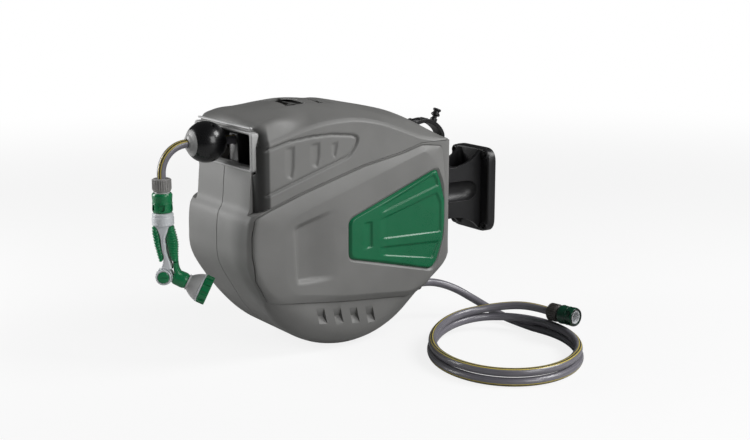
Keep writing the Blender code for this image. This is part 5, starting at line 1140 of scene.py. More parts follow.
def ring_layout():
    """Copies of an object round the Z axis, each turned to face outwards."""
    tree = Layout("ring_of_copies")
    count, radius = tree.input("Count", "Int"), tree.input("Radius", "Float")
    first, copy = tree.input("First", "Float"), tree.input("Copy", "Object")
    step = tree.node("ShaderNodeMath", {"operation": "DIVIDE"}, {0: 2 * math.pi, 1: count})
    angle = tree.node("GeometryNodeInputIndex") * step + first
    position = tree.node("ShaderNodeCombineXYZ", values={
        "X": angle.maths("COSINE") * radius, "Y": angle.maths("SINE") * radius})
    turn = tree.node("FunctionNodeEulerToRotation", values={
        "Euler": tree.node("ShaderNodeCombineXYZ", values={"Z": angle})})
    copies = tree.node("GeometryNodeInstanceOnPoints", values={
        "Points": tree.node("GeometryNodePoints", values={"Count": count, "Position": position}),
        "Instance": tree.node("GeometryNodeObjectInfo", values={"Object": copy}, out="Geometry"),
        "Rotation": turn})
    real = tree.node("GeometryNodeRealizeInstances", values={"Geometry": copies})
    done = tree.node("GeometryNodeSetMaterial", values={
        "Geometry": real, "Material": tree.input("Finish", "Material")})
    tree.put(tree.tree.nodes.new("NodeGroupOutput").inputs["Geometry"], done)
    return tree.tree


RING = ring_layout()


def copies(copy, count, radius, first=0.0):
    """The plain mesh of a ring of copies. The object that is copied is removed afterwards."""
    host = link("copies", bpy.data.meshes.new("copies"), grey_plastic)
    modifier = host.modifiers.new("copies", "NODES")
    modifier.node_group = RING
    values = {"Count": count, "Radius": radius, "First": first, "Copy": copy, "Finish": grey_plastic}
    for item in RING.interface.items_tree:
        if item.in_out == "INPUT":
            modifier[item.identifier] = values[item.name]
    applied(host)
    bpy.data.objects.remove(copy)
    return tidied(host, 30)


def rib(radial, across, low, high, round_off=0.3):
    """A small rounded bar along Z, centred on the ring of copies that it is laid in."""
    outline = [(radial / 2, across / 2), (-radial / 2, across / 2), (-radial / 2, -across / 2),
               (radial / 2, -across / 2)]
    return prism(2, rounded(outline, min(radial, across) * round_off, 2), low, high)


print("layout:", RING.name)

# %% [markdown]
# The wall bracket is one heavy black moulding: a plate with rounded edges, two flared gussets that meet
# in the solid end round the hinge pin, and four countersunk holes in low bosses. The plate is a stack of
# rounded rectangles, the gussets a smooth profile pulled across, and the hollows are cut from both.

# %% Wall bracket and hinge
HINGE_Y, PIN_RADIUS, LUG_TOP = -0.098, 0.006, 0.082
OUTWARDS = (0, 1, 0)


def rectangle(half_u, low, high, radius):
    """A rectangle with round corners, centred on u = 0, between two heights."""
    return rounded([(half_u, high), (-half_u, high), (-half_u, low), (half_u, low)], radius * 1.9, 6)


plate = skin("wall_bracket_fine", [
    [(x, y, z) for x, z in rectangle(0.06 - inset, inset - 0.083, 0.083 - inset, 0.014 - inset * 0.6)]
    for inset, y in mm("0.6 0, 0 -0.8, 0 -14, 0.5 -15.7, 1.6 -17.1, 3 -17.8, 4.6 -18")
], black_plastic, sharp=40)

upper_edge = mm("-10 79.5, -21.5 76, -30 69, -42 61, -56 55, -70 51.5, -80 49.7, -100 49.7")
lower_edge = mm("-100 -49.7, -80 -49.7, -68 -50.8, -52 -55, -38 -61, -28 -68, -20.5 -75, -10 -77")


arm_side = flat_curve(upper_edge) + mm("-115 49.7, -115 -49.7") + flat_curve(lower_edge)
arm_plan = rounded(mm("35 10, -35 10, -35 -115, 35 -115"), 0.011, 8)
channel = rounded(mm("28 -18, -28 -18, -28 -77, 28 -77"), 0.008, 6)
trough = eased(mm("0 0, 21 0, 21 66, 17.5 78, 11 86, 0 89.5"), 0.01, 8)
boss = eased(mm("0 0, 8 0, 9.8 2.2, 10.5 6, 0 6"), 0.001)
hole = mm("0 -2, 6.6 -2, 6.4 1.5, 3.1 5.2, 3 30, 0 30")
steps = add(worked(prism(0, arm_side, -0.035, 0.035), [("INTERSECT", prism(2, arm_plan, -0.12, 0.12))]))
for sign in (1, -1):
    steps += cut(prism(2, channel, sign * 0.025, sign * 0.12), placed(
        lathe("trough", trough, black_plastic), facing((sign * 0.042, -0.114, 0.002), OUTWARDS)))
for x in (-0.047, 0.047):
    for z in (-0.07, 0.07):
        screw_place = facing((x, -0.02, z), OUTWARDS)
        steps += add(placed(lathe("boss", boss, black_plastic, 48), screw_place))
        steps += cut(placed(lathe("hole", hole, black_plastic, 48), screw_place))
steps += cut(rod(PIN_RADIUS + 0.0003, 0.08, (0, HINGE_Y, 0)))
wall_bracket = seat(worked(plate, steps, 34), "bracket")

hinge_pin = turned("hinge_pin", eased([
    *mm("0 -85, 6.6 -85, 8.8 -84.1, 8.8 -82.3"), (PIN_RADIUS, -0.0823), (PIN_RADIUS, 0.0823),
    *mm("10.5 82.3, 10.5 83.8, 8.5 85.1, 4.5 85.6, 0 85.6"),
], 0.0004), turned_steel, "bracket", facing((0, HINGE_Y, 0)))

# The reel's own half of the hinge: a plate on its back and two lugs round the pin
hinge = skin("rear_hinge_fine", [
    [(x * share, y, z * share) for x, z in rectangle(0.04, -0.095, 0.0885, 0.008)]
    for share, y in ((1.0, -0.1547), (1.0, -0.1497), (0.994, -0.149), (0.982, -0.1487))
], frame_grey, sharp=40)
web = [(0.03, -0.1497)] + arc((0, HINGE_Y), 0.017, 0, 180, 28) + [(-0.03, -0.1497)]
top_web = [(x * 0.96, HINGE_Y + (y - HINGE_Y) * 0.985) for x, y in web]
steps = []
for low, high in ((0.0503, LUG_TOP), (-LUG_TOP, -0.0503)):
    lug = ((top_web, low), (web, low + 0.0008), (web, high - 0.0008), (top_web, high))
    steps += add(skin("lug", [[(x, y, z) for x, y in line] for line, z in lug], frame_grey))
    rib_z, sign = (high, 1) if high > 0 else (low, -1)
    brace = [(-0.149, rib_z - 0.006 * sign), (-0.149, rib_z * 1.06), (-0.128, rib_z - 0.0015 * sign)]
    steps += add(*[prism(0, brace, side * 0.017 - 0.0012, side * 0.017 + 0.0012) for side in (-1, 1)])
steps += cut(rod(PIN_RADIUS + 0.0003, 0.12, (0, HINGE_Y, 0)))
rear_hinge = seat(worked(hinge, steps, 34), "reel")
print("bracket:", triangles(wall_bracket), "hinge:", triangles(rear_hinge), "pin:", triangles(hinge_pin))

# %% [markdown]
# Behind the roof sits a black clip: a wide strap with long grooves that runs in a loop from the roof's
# edge down to the hinge plate, and a double-flanged plug on top, on which the gun is parked. The strap
# is one grooved section carried along its curve, so the grooves follow the bend as on the moulding.

# %% Clip, parking plug and gland
STRAP_HALF, STRAP_THICK = 0.013, 0.008
STRAP_GROOVES = (-0.0068, 0.0, 0.0068)
ROOF_REAR = mm("-230 170.5, -197 156.5, -174 142.5, -154.7 127.5")

strap_points = mm("-160 139.2, -136 143, -116 137, -101 125, -94 111, -99 99, -118 94.5, -154 93")
strap_line = [Vector(p) for p in flat_curve(strap_points, 0.0022)]
crosswise = np.linspace(0.0009 - STRAP_HALF, STRAP_HALF - 0.0009, 45)
from_groove = [min(abs(x - groove) for groove in STRAP_GROOVES) / 0.0014 for x in crosswise]
grooved = [(x, STRAP_THICK / 2 - 0.0009 * max(0.0, 1 - d) ** 0.5) for x, d in zip(crosswise, from_groove)]
strap_section = grooved + [(STRAP_HALF, 0.003), (STRAP_HALF, -0.003), (STRAP_HALF - 0.0009, -0.004),
                           (0.0009 - STRAP_HALF, -0.004), (-STRAP_HALF, -0.003), (-STRAP_HALF, 0.003)]
rows = []
for i, point in enumerate(strap_line):
    tangent = (strap_line[min(i + 1, len(strap_line) - 1)] - strap_line[max(i - 1, 0)]).normalized()
    outward = Vector((-tangent.y, tangent.x))
    rows.append([(x, point.x + outward.x * n, point.y + outward.y * n) for x, n in strap_section])
strap = skin("gun_holder_fine", rows, black_plastic, sharp=30)

foot_plan = rounded(mm("12.6 -150, -12.6 -150, -12.6 -168, 12.6 -168"), 0.004)
foot = skin("foot", [
    [(x * share, -0.159 + (y + 0.159) * share, z) for x, y in foot_plan]
    for share, z in ((1.0, 0.109), (1.0, 0.1435), (0.97, 0.1452), (0.88, 0.1461))
], black_plastic)
under = [(-0.23, 0.06), *ROOF_REAR, (-0.1547, 0.06)]
crown = mm("-152 144.5, -136 148.8, -124 145.8, -124.5 143, -136 145, -152 142")
lobe = eased(mm("0 -10, 5 -10, 5 1, 0 2.6"), 0.0022, 6)
lobes = [placed(lathe("lobe", lobe, black_plastic, 36), facing((x, -0.1595, 0.1455)))
         for x in (-0.0064, 0.0064)]
holder = worked(strap, add(foot, *lobes, prism(0, crown, -0.003, 0.003))
                + cut(prism(0, under, -0.02, 0.02)), 30)
seat(holder, "reel")

PLUG_TILT = math.radians(24)
plug = turned("parking_plug", eased(mm(
    "0 -1, 6.8 -1, 7 5, 4.6 6.2, 4.5 9.8, 8.5 11.3, 8.6 14.9, 6 16.5, 5.9 19.8, 8 21.3, 7.6 24.6, 0 25.2"
), 0.0006), black_plastic, "reel",
    facing((0, -0.109, 0.1395), (0, math.sin(PLUG_TILT), math.cos(PLUG_TILT))))

gland = turned("inlet_gland", rounded(mm(
    "8.1 0, 12 0, 12 30.2, 14.6 30.4, 14.6 40, 12.2 42, 12 50, 8.1 50"
), 0.0005, 2), black_plastic, "reel", facing((0.045, -0.225, -0.165), OUTWARDS),
    add(copies(rib(0.0014, 0.0016, 0.0308, 0.0394, 0.35), 16, 0.0145)))
print("clip:", triangles(holder), "plug:", triangles(plug), "gland:", triangles(gland))

# %% [markdown]
# The stop ball keeps the end of the hose from being wound in. It is two glossy black halves that are
# clamped round the hose, with a pale nose on the free side. A turned ball with a bore is cut in two
# a hair apart, so the joint line is a real gap, and each half has the recesses of its two screws.

# %% Stop ball
glossy_black = moulded("glossy_black", (0.006, 0.006, 0.007), 0.28, 1500.0, 0.00004, 0.2, coat=0.3)
BORE = HOSE / 2 + 0.0003
NOSE_ANGLE = 41
to_front = facing((0, BALL_Y, HOSE_Z), (0, -1, 0))
recess = eased(mm("0 20, 3.4 20, 3.6 60, 0 60"), 0.0003)
bulge = [(r, h) for h, r in arc((0, 0), BALL_RADIUS, NOSE_ANGLE, 165, 60)]
bulge = [(BORE, bulge[0][1])] + bulge + [(BORE, bulge[-1][1])]
for side, away in (("upper", 1), ("lower", -1)):
    half_ball = placed(lathe(f"ball_{side}_fine", bulge, glossy_black, 96), to_front)
    low, high = sorted((HOSE_Z + away * 0.00015, HOSE_Z + away * 0.05))
    steps = [("INTERSECT", block((-0.05, BALL_Y - 0.05, low), (0.05, BALL_Y + 0.05, high)))]
    steps += cut(*[placed(lathe("recess", recess, glossy_black, 36),
                          facing((x, BALL_Y + 0.004, HOSE_Z), (0, 0, away))) for x in (-0.019, 0.019)])
    seat(worked(half_ball, steps, 34), "guide")
dome = [(r, h) for h, r in arc((0, 0), BALL_RADIUS, NOSE_ANGLE - 1.5, 25, 12)]
rim = rounded([*mm("14 34.5, 13.1 35.1, 10.6 36.4"), (BORE, 0.0365)], 0.0003, 2)[1:-1]
joint = prism(0, mm("-0.4 31, 0.4 31, 0.4 40, -0.4 40"), -0.03, 0.03)
nose = turned("ball_nose", [(BORE, dome[0][1] - 0.0002), (dome[0][0], dome[0][1] - 0.0002)] + dome + rim,
              frame_grey, "guide", to_front @ Matrix.Rotation(math.radians(90), 4, "Z"),
              cut(joint), 96)
print("ball nose:", triangles(nose))

# %% [markdown]
# Two quick couplings, one on each free hose end, come from the same recipe. A ribbed nut clamps the
# hose, a sleeve with a socket takes the plug, and a waisted collar slides on it and holds the plug's
# claws. The nut's ribs, the collar's finger windows and the claws in the socket are rings of copies.

# %% Quick couplings
NUT_RADIUS, NUT_LENGTH, NUT_DEPTH = 0.0165, 0.022, 0.0058
COLLAR_LENGTH, COLLAR_START = 0.034, 0.0086
SLEEVE = NUT_LENGTH - NUT_DEPTH
INLET_HEADING = Vector((0.982134, 0.188182, 0.0))

grip_green = moulded("grip_green", (0.004, 0.25, 0.085), 0.3, 1300.0, 0.00008, 0.12, coat=0.4)
ribbed_grey = moulded("ribbed_grey", (0.33, 0.322, 0.312), 0.42)
taupe_plastic = moulded("taupe_plastic", (0.085, 0.078, 0.074), 0.36)


def coupling(prefix, stand, body, finishes, slots):
    """Nut, sleeve and collar of one coupling, made along +Z from the nut's hose side."""
    base = stand @ Matrix.Translation((0, 0, SLEEVE))
    nut = rounded([
        (BORE, 0.0), (0.0135, 0.0), (0.0153, 0.0014), (0.0157, NUT_LENGTH - 0.003), (0.015, NUT_LENGTH),
        (0.0104, NUT_LENGTH), (0.0104, SLEEVE - 0.0006), (BORE, SLEEVE - 0.0006),
    ], 0.0007)
    ribs = copies(rib(0.002, 0.0021, 0.0018, NUT_LENGTH - 0.0034), 26, NUT_RADIUS - 0.001)
    socket = rounded([
        (0.0055, 0.0), (0.01, 0.0), (0.01, NUT_DEPTH + 0.0004), (0.013, NUT_DEPTH + 0.0006),
        (0.013, COLLAR_LENGTH + 0.0055), (0.012, COLLAR_LENGTH + 0.007), (0.01, COLLAR_LENGTH + 0.007),
        (0.0095, 0.018), (0.0055, 0.015),
    ], 0.0004, 2)
    claws = copies(rib(0.0016, 0.003, 0.023, COLLAR_LENGTH + 0.003), 6, 0.0094)
    waist = mm("16.2 0.8, 17.5 3, 17.3 7.5, 16.8 14, 17 20, 17.5 27, 17.3 30.5")
    collar = mm("13.4 0, 15.7 0") + flat_curve(waist + [(0.0163, COLLAR_LENGTH - 0.0012)], 0.0014) + [
        (0.0157, COLLAR_LENGTH - 0.0008), (0.0134, COLLAR_LENGTH - 0.0008)]
    bead = lathe("bead", rounded(mm("15 16.8, 17.4 17.2, 17.4 18, 15 18.4"), 0.0003, 2), grey_plastic, 96)
    arch = [(-0.0047, 0.0196), *arc((0, 0.0255), 0.0047, 180, 0, 12), (0.0047, 0.0196)]
    windows = copies(prism(0, arch, 0.0144, 0.019), 6, 0.0, 0.52)
    return [turned(f"{prefix}_{name}", profile, finish, on, at, steps, segments, 28)
            for finish, slot, (name, profile, on, at, steps, segments) in zip(finishes, slots, (
                ("nut", nut, body, stand, add(ribs), 72),
                ("coupler", socket, body, base, add(claws), 72),
                ("collar", collar, f"{prefix}_sleeve", base @ Matrix.Translation((0, 0, COLLAR_START)),
                 add(bead) + cut(windows), 96)))]


outlet = coupling("outlet", facing((0, GUN_Y, NUT_TOP), (0, 0, -1)), "guide",
                  (ribbed_grey, bright_grey, grip_green),
                  ("light_grey_plastic", "light_grey_plastic", "green_plastic"))
INLET_STAND = facing(turns[-1] + INLET_HEADING * 0.009, INLET_HEADING)
inlet = coupling("inlet", INLET_STAND, "reel", (taupe_plastic, pale_plastic, deep_green),
                 ("light_grey_plastic", "pale_plastic", "deep_green_plastic"))
# Painted shade: a thin black ring on the inlet collar's end stands for the shade on the collar's end face
collar_shade_ring = lathe("inlet_collar_ring", rounded(mm("13.6 0, 16 0, 15.6 1, 13.7 1"), 0.0003, 2), glossy_black)
ring_at = SLEEVE + COLLAR_START + COLLAR_LENGTH - 0.0009
seat(placed(collar_shade_ring, INLET_STAND @ Matrix.Translation((0, 0, ring_at))), "inlet_sleeve")
print("outlet coupling:", [triangles(p) for p in outlet], "inlet coupling:", [triangles(p) for p in inlet])

# %% [markdown]
# The spray gun hangs from the coupling. A pale spine curves down between two green grips to the hub of
# the flow knob, and the green elbow carries the spray head. Each grip is a loft of rounded sections
# whose outer side swells into scallops or fine ribs, a height that depends on the place along it.

# %% Gun body
GUN_TURN = Matrix(((0.56641, -0.82413, 0, 0), (0.82413, 0.56641, 0, GUN_Y), (0, 0, 1, 0), (0, 0, 0, 1)))
GRIP_TOP, GRIP_FOOT, GRIP_DEPTH, KNOB_Z = 0.0032, -0.0628, 0.0112, -0.0843
OVAL_COUNT = 48
TO_THE_RIGHT = (0, -1, 0)
KNOB_AXIS = facing((0, 0, KNOB_Z), TO_THE_RIGHT)

gun_pale = moulded("gun_pale", (0.84, 0.87, 0.9), 0.32, 1300.0, 0.00005, 0.05)

cap = turned("gun_cap", rounded(mm(
    "3.5 42.8, 7.8 42.8, 8.5 41.8, 8.5 39.2, 7.4 39, 7.4 36.8, 8.5 36.6, 7.8 27.3, 16.5 25.8, 18.4 23.8, "
    "18.4 21.4, 17.6 20.6, 17.6 19.2, 18.9 18.6, 18.9 10, 18.3 9.4, 18.9 8.8, 18.9 6.2, 17.2 4, 3.5 3.8"
), 0.0007, 3), gun_pale, "gun", GUN_TURN, segments=96)
seal = lathe("gun_seal", arc((0.0083, 0.0379), 0.0007, 0, 330, 11), black_plastic, 48)
seat(placed(seal, GUN_TURN), "gun")


def between(stations, count):
    """Values at even steps along the stations, joined by a smooth line."""
    line = smooth_line([(*pair, i / (len(stations) - 1)) for i, pair in enumerate(stations)], 0.004)
    share = np.linspace(0, 1, count)
    return share, *(np.interp(share, [p.z for p in line], [p[i] for p in line]) for i in (0, 1))


def oval(low, high, half_depth, power):
    """A rounded section: nearly square for a high power, an ellipse for a power of 2."""
    middle, half = (low + high) / 2, (high - low) / 2

    def swung(value):
        return math.copysign(abs(value) ** (2 / power), value)

    return [(middle + half * swung(math.cos(a)), half_depth * swung(math.sin(a)))
            for a in np.linspace(0, 2 * math.pi, OVAL_COUNT, endpoint=False)]


def grip(name, stations, power, relief):
    """A grip from its top to its foot, with relief(share, x share) as its outward swell."""
    rows = []
    for t, low, high in zip(*between(stations, 160)):
        z = GRIP_TOP - 0.0004 - (GRIP_TOP - GRIP_FOOT - 0.004) * t
        shrink = 1 - 0.55 * (ease(-t, -0.03, 0.0) ** 2 + ease(t, 0.97, 1.0) ** 2)
        row = []
        for x, y in oval(low, high, GRIP_DEPTH, power):
            u = (x - low) / (high - low)
            swell = relief(t, u)
            row.append((low + (high - low) * 0.5 + (x - (low + high) * 0.5) * shrink + swell * (2 * u - 1),
                        y * shrink + swell * (y / GRIP_DEPTH), z))
        rows.append(row)
    return skin(name, rows, grip_green, sharp=50)


def scallops(t, u):
    """Twelve waves down the back grip's outer edge."""
    wave = 0.0019 * (abs(math.sin(12 * math.pi * t)) - 0.6)
    return wave * float(ease(-u, -0.85, -0.4)) * (0.03 < t < 0.97)


def fine_ribs(t, u):
    """Fourteen ribs across the front grip's outer half, which fade towards the spine."""
    wave = 0.5 + 0.5 * math.cos(2 * math.pi * 14.5 * (t + 0.02 * u))
    ends = float(ease(t, 0.05, 0.12) * ease(-t, -0.93, -0.86))
    return 0.0017 * (wave ** 2 - 0.5) * float(ease(u, 0.3, 0.55)) * ends


back = grip("grip_back_fine", mm(
    "-17.5 -10, -18 -6, -16.5 -4.5, -15 -3.5, -12.5 -1.5, -10 0.5, -7 -3"), 3.0, scallops)
front = grip("grip_front_fine", mm(
    "10 18, 6.4 20.5, 4.8 23, 5.4 24.5, 7.2 24, 10.2 23.6, 15 23.8"), 2.6, fine_ribs)
print("grips:", triangles(back), triangles(front))
for piece in (back, front):
    seat(placed(piece, GUN_TURN), "gun")

spine_stations = mm("-12 12, -7.2 8.2, -4.3 4.3, -3.4 4.7, -2.1 5.4, 0.2 7.8, -1.5 11.8, -6 14.5")
spine = skin("gun_frame_fine", [
    [(x, y, GRIP_TOP + 0.0006 - (GRIP_TOP - GRIP_FOOT + 0.009) * t) for x, y in oval(low, high, 0.0122, 6.0)]
    for t, low, high in zip(*between(spine_stations, 90))
], gun_pale, sharp=40)
hub = lathe("hub", rounded(mm(
    "10 -9.2, 13.6 -9.2, 14.6 -8, 14.8 11, 14.2 12.3, 13.8 12.4, 13.8 10, 10 10"), 0.0006), gun_pale, 96)
core = lathe("core", rounded(mm("2 -8.6, 11 -8.6, 11 10.5, 2 10.5"), 0.0004, 2), gun_pale, 64)
marks = copies(rib(0.0016, 0.001, 0.0085, 0.013), 16, 0.0147, 0.1)
steps = cut(rod(0.0106, 0.03, (0, 0, KNOB_Z), TO_THE_RIGHT, 64))
steps += add(placed(hub, KNOB_AXIS), placed(core, KNOB_AXIS)) + cut(placed(marks, KNOB_AXIS))
for side in (-1, 1):
    line = [(0.0012 * k, side * 0.0122, GRIP_TOP - 0.016 - 0.04 * t)
            for k, t in ((0, 0.0), (0, 0.5), (1, 1.0))]
    steps += cut(swept("spine_line", smooth_line(line, 0.004), 0.001, gun_pale, sides=8))
gun_frame = worked(spine, steps, 34)
seat(placed(gun_frame, GUN_TURN), "gun")
print("cap:", triangles(cap), "frame:", triangles(gun_frame))

# %% [markdown]
# The flow knob turns on the hub, and the head's dial turns on the end of the elbow to choose a pattern.
# Both are turned pieces, and what repeats on them is a ring of copies: the dial's twelve deep flutes,
# the grip marks of the knob and the rings of holes in the face through which the water leaves.

# %% Flow knob and spray head
HEAD_DROP = math.radians(25)
HEAD_AXIS = Vector((math.cos(HEAD_DROP), 0, -math.sin(HEAD_DROP)))
HEAD_ROOT = Vector((0.0185, 0, KNOB_Z - 0.002))


def along_head(distance):
    return GUN_TURN @ facing(HEAD_ROOT + HEAD_AXIS * distance, HEAD_AXIS)


KNOB_STAND = GUN_TURN @ facing((0, -0.0129, KNOB_Z), TO_THE_RIGHT)
knob = turned("flow_knob", rounded(mm(
    "1.5 0, 12.4 0, 13.4 1, 13.5 4, 12.6 4.9, 11.2 4.9, 10.5 3.2, 1.5 3.2"
), 0.0004, 3), gun_pale, "knob", KNOB_STAND,
    cut(copies(rib(0.0008, 0.0012, 0.0008, 0.006), 24, 0.0136)), 96)
lever = rounded(mm("7.2 0.9, -7.2 0.9, -7.2 -0.9, 7.2 -0.9"), 0.0006)
turned("knob_cap", eased(mm("0 3.4, 9.8 3.4, 9.8 4.8, 8.8 5.6, 4 5.9, 0 6"), 0.0008), grip_green,
       "knob", KNOB_STAND, cut(prism(2, lever, 0.0053, 0.0075)))

elbow = lathe("gun_elbow_fine", eased(mm(
    "0 -4, 10.8 -4, 13.4 0, 14 15, 13.6 18.2, 12.8 19, 12.8 21.5, 0 21.5"), 0.0016), grip_green)
riser = skin("riser", [
    [(x, y, z) for x, y in oval(low, high, depth, 2.8)] for low, high, depth, z in (
        (0.0152, 0.0238, 0.0103, GRIP_FOOT + 0.003), (0.0154, 0.0242, 0.0105, GRIP_FOOT - 0.003),
        (0.0157, 0.0257, 0.0108, GRIP_FOOT - 0.009), (0.0164, 0.0298, 0.011, KNOB_Z + 0.004))
], grip_green, sharp=50)
elbow = worked(placed(elbow, facing(HEAD_ROOT, HEAD_AXIS)), add(riser) + cut(
    rod(0.0152, 0.03, (0, 0, KNOB_Z), TO_THE_RIGHT, 96),
    block((-0.02, -0.03, KNOB_Z), (0.0153, 0.03, GRIP_FOOT + 0.01))), 40)
seat(placed(elbow, GUN_TURN), "gun")

BELL_START, RING_START, DIAL_START = 0.0218, 0.0446, 0.0478
bell_curve = flat_curve(mm("13.2 3, 15.8 6.2, 19 10.8, 22.2 16.6, 24.3 22.5"), 0.0012)
turned("spray_bell", mm("0 0, 13 0, 13.9 0.6, 14 2, 13.3 2.5") + bell_curve + [(0.0, 0.0225)], bright_grey,
       "gun", along_head(BELL_START), segments=96)
turned("head_ring", eased(mm("0 0, 25 0, 25.4 2.8, 0 2.8"), 0.0006), gun_pale,
       "gun", along_head(RING_START), segments=96)
dial = turned("pattern_dial", eased(mm(
    "0 0, 24.7 0, 25.4 0.8, 25.4 14, 24.5 15, 22.2 15, 20.6 11, 0 11"
), 0.0006), grip_green, "dial", along_head(DIAL_START),
    cut(copies(rib(0.0042, 0.0062, 0.002, 0.017, 0.2), 12, 0.0254)), 144)
HOLE_RINGS = ((1, 0.0), (6, 0.0035), (12, 0.0068), (18, 0.0102), (24, 0.0138), (30, 0.0172))
spray_hole = arc((0, 0), 0.00055, 0, 330, 11)
face = turned("dial_face", eased(mm("0 11.3, 20 11.3, 20 12.8, 12 13.1, 0 13.1"), 0.0004), deep_green,
              "dial", along_head(DIAL_START),
              cut(*[copies(prism(2, spray_hole, 0.0122, 0.014), *ring) for ring in HOLE_RINGS]), 96)
print("knob:", triangles(knob), "elbow:", triangles(elbow))
print("dial:", triangles(dial), "face:", triangles(face))

# %% [markdown]
# Behind the bezel stand two ribbed rollers in their carriers, and the carriage whose eye leads the hose
# along the slot. The carriage is a block with rounded edges between the guide rod and the reversing
# screw, hollowed from behind between ribs. Here everything is black or in shadow, so form is what shows.

# %% Slot rollers, carriers and hose guide
# Black moulding darkened below the other black as painted shade: the slot's inside lies in shade, and this
# colour stands for it
slot_shade_black = moulded("slot_shade_black", (0.006, 0.006, 0.007), 0.42, 1000.0, 0.0001, 0.2)
ROLLER_PLACE = (0.093, -0.538, 0.131)
SCREW_Y, SCREW_Z, ROD_Y = -0.505, 0.094, -0.535
roller_profile = rounded(mm("2.1 -28, 5 -28, 6 -26.8, 6 26.8, 5 28, 2.1 28"), 0.0005, 3)
pin_profile = eased(mm("0 -31, 1.8 -31, 1.8 31, 0 31"), 0.0004)
carrier_side = rounded(mm("-548.6 99.7, -530.2 99.7, -530.2 162.8, -548.6 162.8"), 0.0025, 4)
carrier_plate = rounded(mm("-548.6 82.2, -493.2 82.2, -493.2 107.8, -548.6 107.8"), 0.004, 5)
for name, sign, at in (("right", 1, 0.095), ("left", -1, 0.101)):
    roller = lathe(f"roller_{name}_fine", roller_profile, slot_shade_black, 64)
    roller = worked(roller, cut(copies(rib(0.0016, 0.0013, -0.025, 0.025, 0.45), 12, 0.0064)), 30)
    pin = lathe(f"roller_pin_{name}", pin_profile, plated_steel, 32)
    stand = facing((sign * ROLLER_PLACE[0], *ROLLER_PLACE[1:]))
    seat(placed(roller, stand), f"roller_{name}", f"slot_roller_{name}")
    seat(placed(pin, stand), "reel")

    low, high = sorted((sign * 0.07, sign * 0.101))
    carrier = prism(0, carrier_side, sign * 0.0852, sign * 0.1033, f"carrier_{name}_fine")
    steps = add(prism(0, carrier_plate, sign * (at - 0.0025), sign * (at + 0.0025)))
    steps += cut(block((low, -0.559, 0.1022), (high, -0.53, 0.1598)),
                 *[rod(0.0053, 0.01, (sign * at, y, SCREW_Z), (1, 0, 0), 32) for y in (ROD_Y, SCREW_Y)],
                 *[rod(0.0021, 0.004, (sign * ROLLER_PLACE[0], ROLLER_PLACE[1], z), segments=24)
                   for z in (0.101, 0.161)])
    worked(carrier, steps, 34).data.materials[0] = slot_shade_black
    seat(carrier, "reel")

guide_side = rounded(mm(
    "-544.3 81.2, -492.2 81.2, -492.2 105.8, -522.2 137.8, -522.2 151.8, -544.3 151.8"), 0.0035, 5)
across = ((-0.0158, 0.94), (-0.015, 0.985), (-0.014, 1.0), (0.014, 1.0), (0.015, 0.985), (0.0158, 0.94))
carriage = skin("hose_guide_fine", bar_rows(guide_side, across), slot_shade_black, sharp=40)
flare = [(BORE + 0.0038 * (1 - math.sin(t)), 0.0046 * (1 - math.cos(t)))
         for t in np.linspace(0.2, math.pi / 2, 8)]
eye = lathe("eye", mm("0 -10, 11.6 -10, 11.6 -0.4") + flare + [(BORE, 0.06), (0.0, 0.06)], slot_shade_black, 64)
hose_guide = worked(carriage, cut(
    *[rod(radius, 0.03, (0, y, SCREW_Z), (1, 0, 0)) for y, radius in ((ROD_Y, 0.0058), (SCREW_Y, 0.0088))],
    placed(eye, facing((0, -0.5445, HOSE_Z), OUTWARDS)),
    *[block((x - 0.0024, -0.52, 0.108), (x + 0.0024, -0.48, 0.118))
      for x in (-0.0096, -0.0032, 0.0032, 0.0096)],
), 34)
seat(hose_guide, "guide")
print("carriage:", triangles(hose_guide), "carrier:", triangles(carrier), "roller:", triangles(roller))

# %% [markdown]
# The reel's hose runs from the ball through the eye and down to the drum, and the rest of its length is
# wound there. The run is swept along the solid model's points. The winding is one line too, in layers of
# nine and eight turns, each laid between the turns of the one below, so that its surface is real hose.

# %% Hose inside the reel
run_line = smooth_line([
    (0, BALL_Y - 0.01, HOSE_Z), (0, -0.578, HOSE_Z), (0, -0.535, HOSE_Z), (0, -0.515, HOSE_Z),
    (0, -0.455, 0.13), (0, -0.395, 0.112), (0, -0.3252, 0.0831),
], 0.006)
seat(swept("hose_run_fine", run_line, HOSE, hose_pvc), "guide")

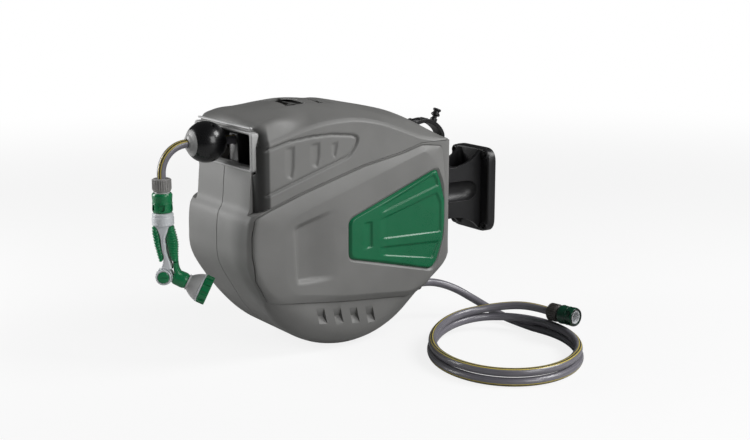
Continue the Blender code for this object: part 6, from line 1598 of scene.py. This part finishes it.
TURNS, LAYERS, AROUND = 9, 4, 44
FIRST_LAYER, LAYER_STEP, TURN_STEP = 0.0789, 0.0118, 0.0183
winding_line = []
for layer in range(LAYERS):
    count, top = TURNS - layer % 2, layer == LAYERS - 1
    steps = count * AROUND
    for k in range(steps + top):
        turn = k / AROUND
        settled = min(count - 1, math.floor(turn) + float(ease(turn % 1, 0.72, 1.0)))
        x = (settled - (count - 1) / 2) * TURN_STEP * (-1 if layer % 2 else 1)
        rise = 0.0 if top else float(ease(k, steps - 10, steps))
        radius = FIRST_LAYER + (layer + rise) * LAYER_STEP
        a = 2 * math.pi * turn
        winding_line.append(Vector((x, DRUM_Y + radius * math.sin(a), DRUM_Z + radius * math.cos(a))))
hose_winding = swept("hose_winding_fine", winding_line, HOSE - 0.0002, hose_pvc, sides=12)
seat(hose_winding, "drum")
print(f"run: {line_length(run_line):.2f} m, winding: {line_length(winding_line):.1f} m,",
      triangles(hose_winding), "triangles")

# %% [markdown]
# What stays of the solid model is inside the housing: axle and bushes, drum, spring and its case, gears,
# ratchet, union and pipe. Their shapes are right, so they only get materials: turned and drawn steel,
# black and natural mouldings. The reversing screw is the exception, since its crossed grooves show
# through the slot. They are two helical threads of opposite hand, cut from a turned bar.

# %% Inner mechanism
SCREW_RADIUS, THREAD_PITCH, THREAD_HALF = 0.008, 0.024, 0.072
x0, x1 = (corner[0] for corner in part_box("guide_screw"))
bar = rounded([
    (0.0, x0), (0.0043, x0), (0.0045, x0 + 0.0006), (0.0045, -0.0815), (SCREW_RADIUS, -0.081),
    (SCREW_RADIUS, 0.081), (0.0045, 0.0815), (0.0045, x1 - 0.0006), (0.0043, x1), (0.0, x1),
], 0.0002, 2)[2:-2]
threads = []
for hand in (1, -1):
    angles = [(h, hand * 2 * math.pi * h / THREAD_PITCH) for h in np.linspace(-THREAD_HALF, THREAD_HALF, 217)]
    line = [Vector((SCREW_RADIUS * math.cos(a), SCREW_RADIUS * math.sin(a), h)) for h, a in angles]
    threads.append(swept("thread", line, 0.0034, turned_steel, sides=8))
screw = turned("guide_screw", bar, turned_steel, "screw",
               facing((0, SCREW_Y, SCREW_Z), (1, 0, 0)), cut(*threads), 48, 34)

housing_black = moulded("housing_black", (0.02, 0.02, 0.021), 0.45, 800.0, 0.00014, 0.2)
kept = {
    turned_steel: "drum_axle", plated_steel: "guide_rod", spring_steel: "power_spring",
    natural_plastic: "bearing_left bearing_right drum_gear idler_gear screw_gear ratchet_ring",
    housing_black: "drum_core flange_left flange_right spring_case",
    black_plastic: "pawl inlet_pipe", pale_plastic: "water_union",
}
for material, nodes in kept.items():
    for node in nodes.split():
        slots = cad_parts[node].data.materials
        slots.clear()
        slots.append(material)
print("screw:", triangles(screw), "inner pieces with a finish:", sum(len(n.split()) for n in kept.values()))
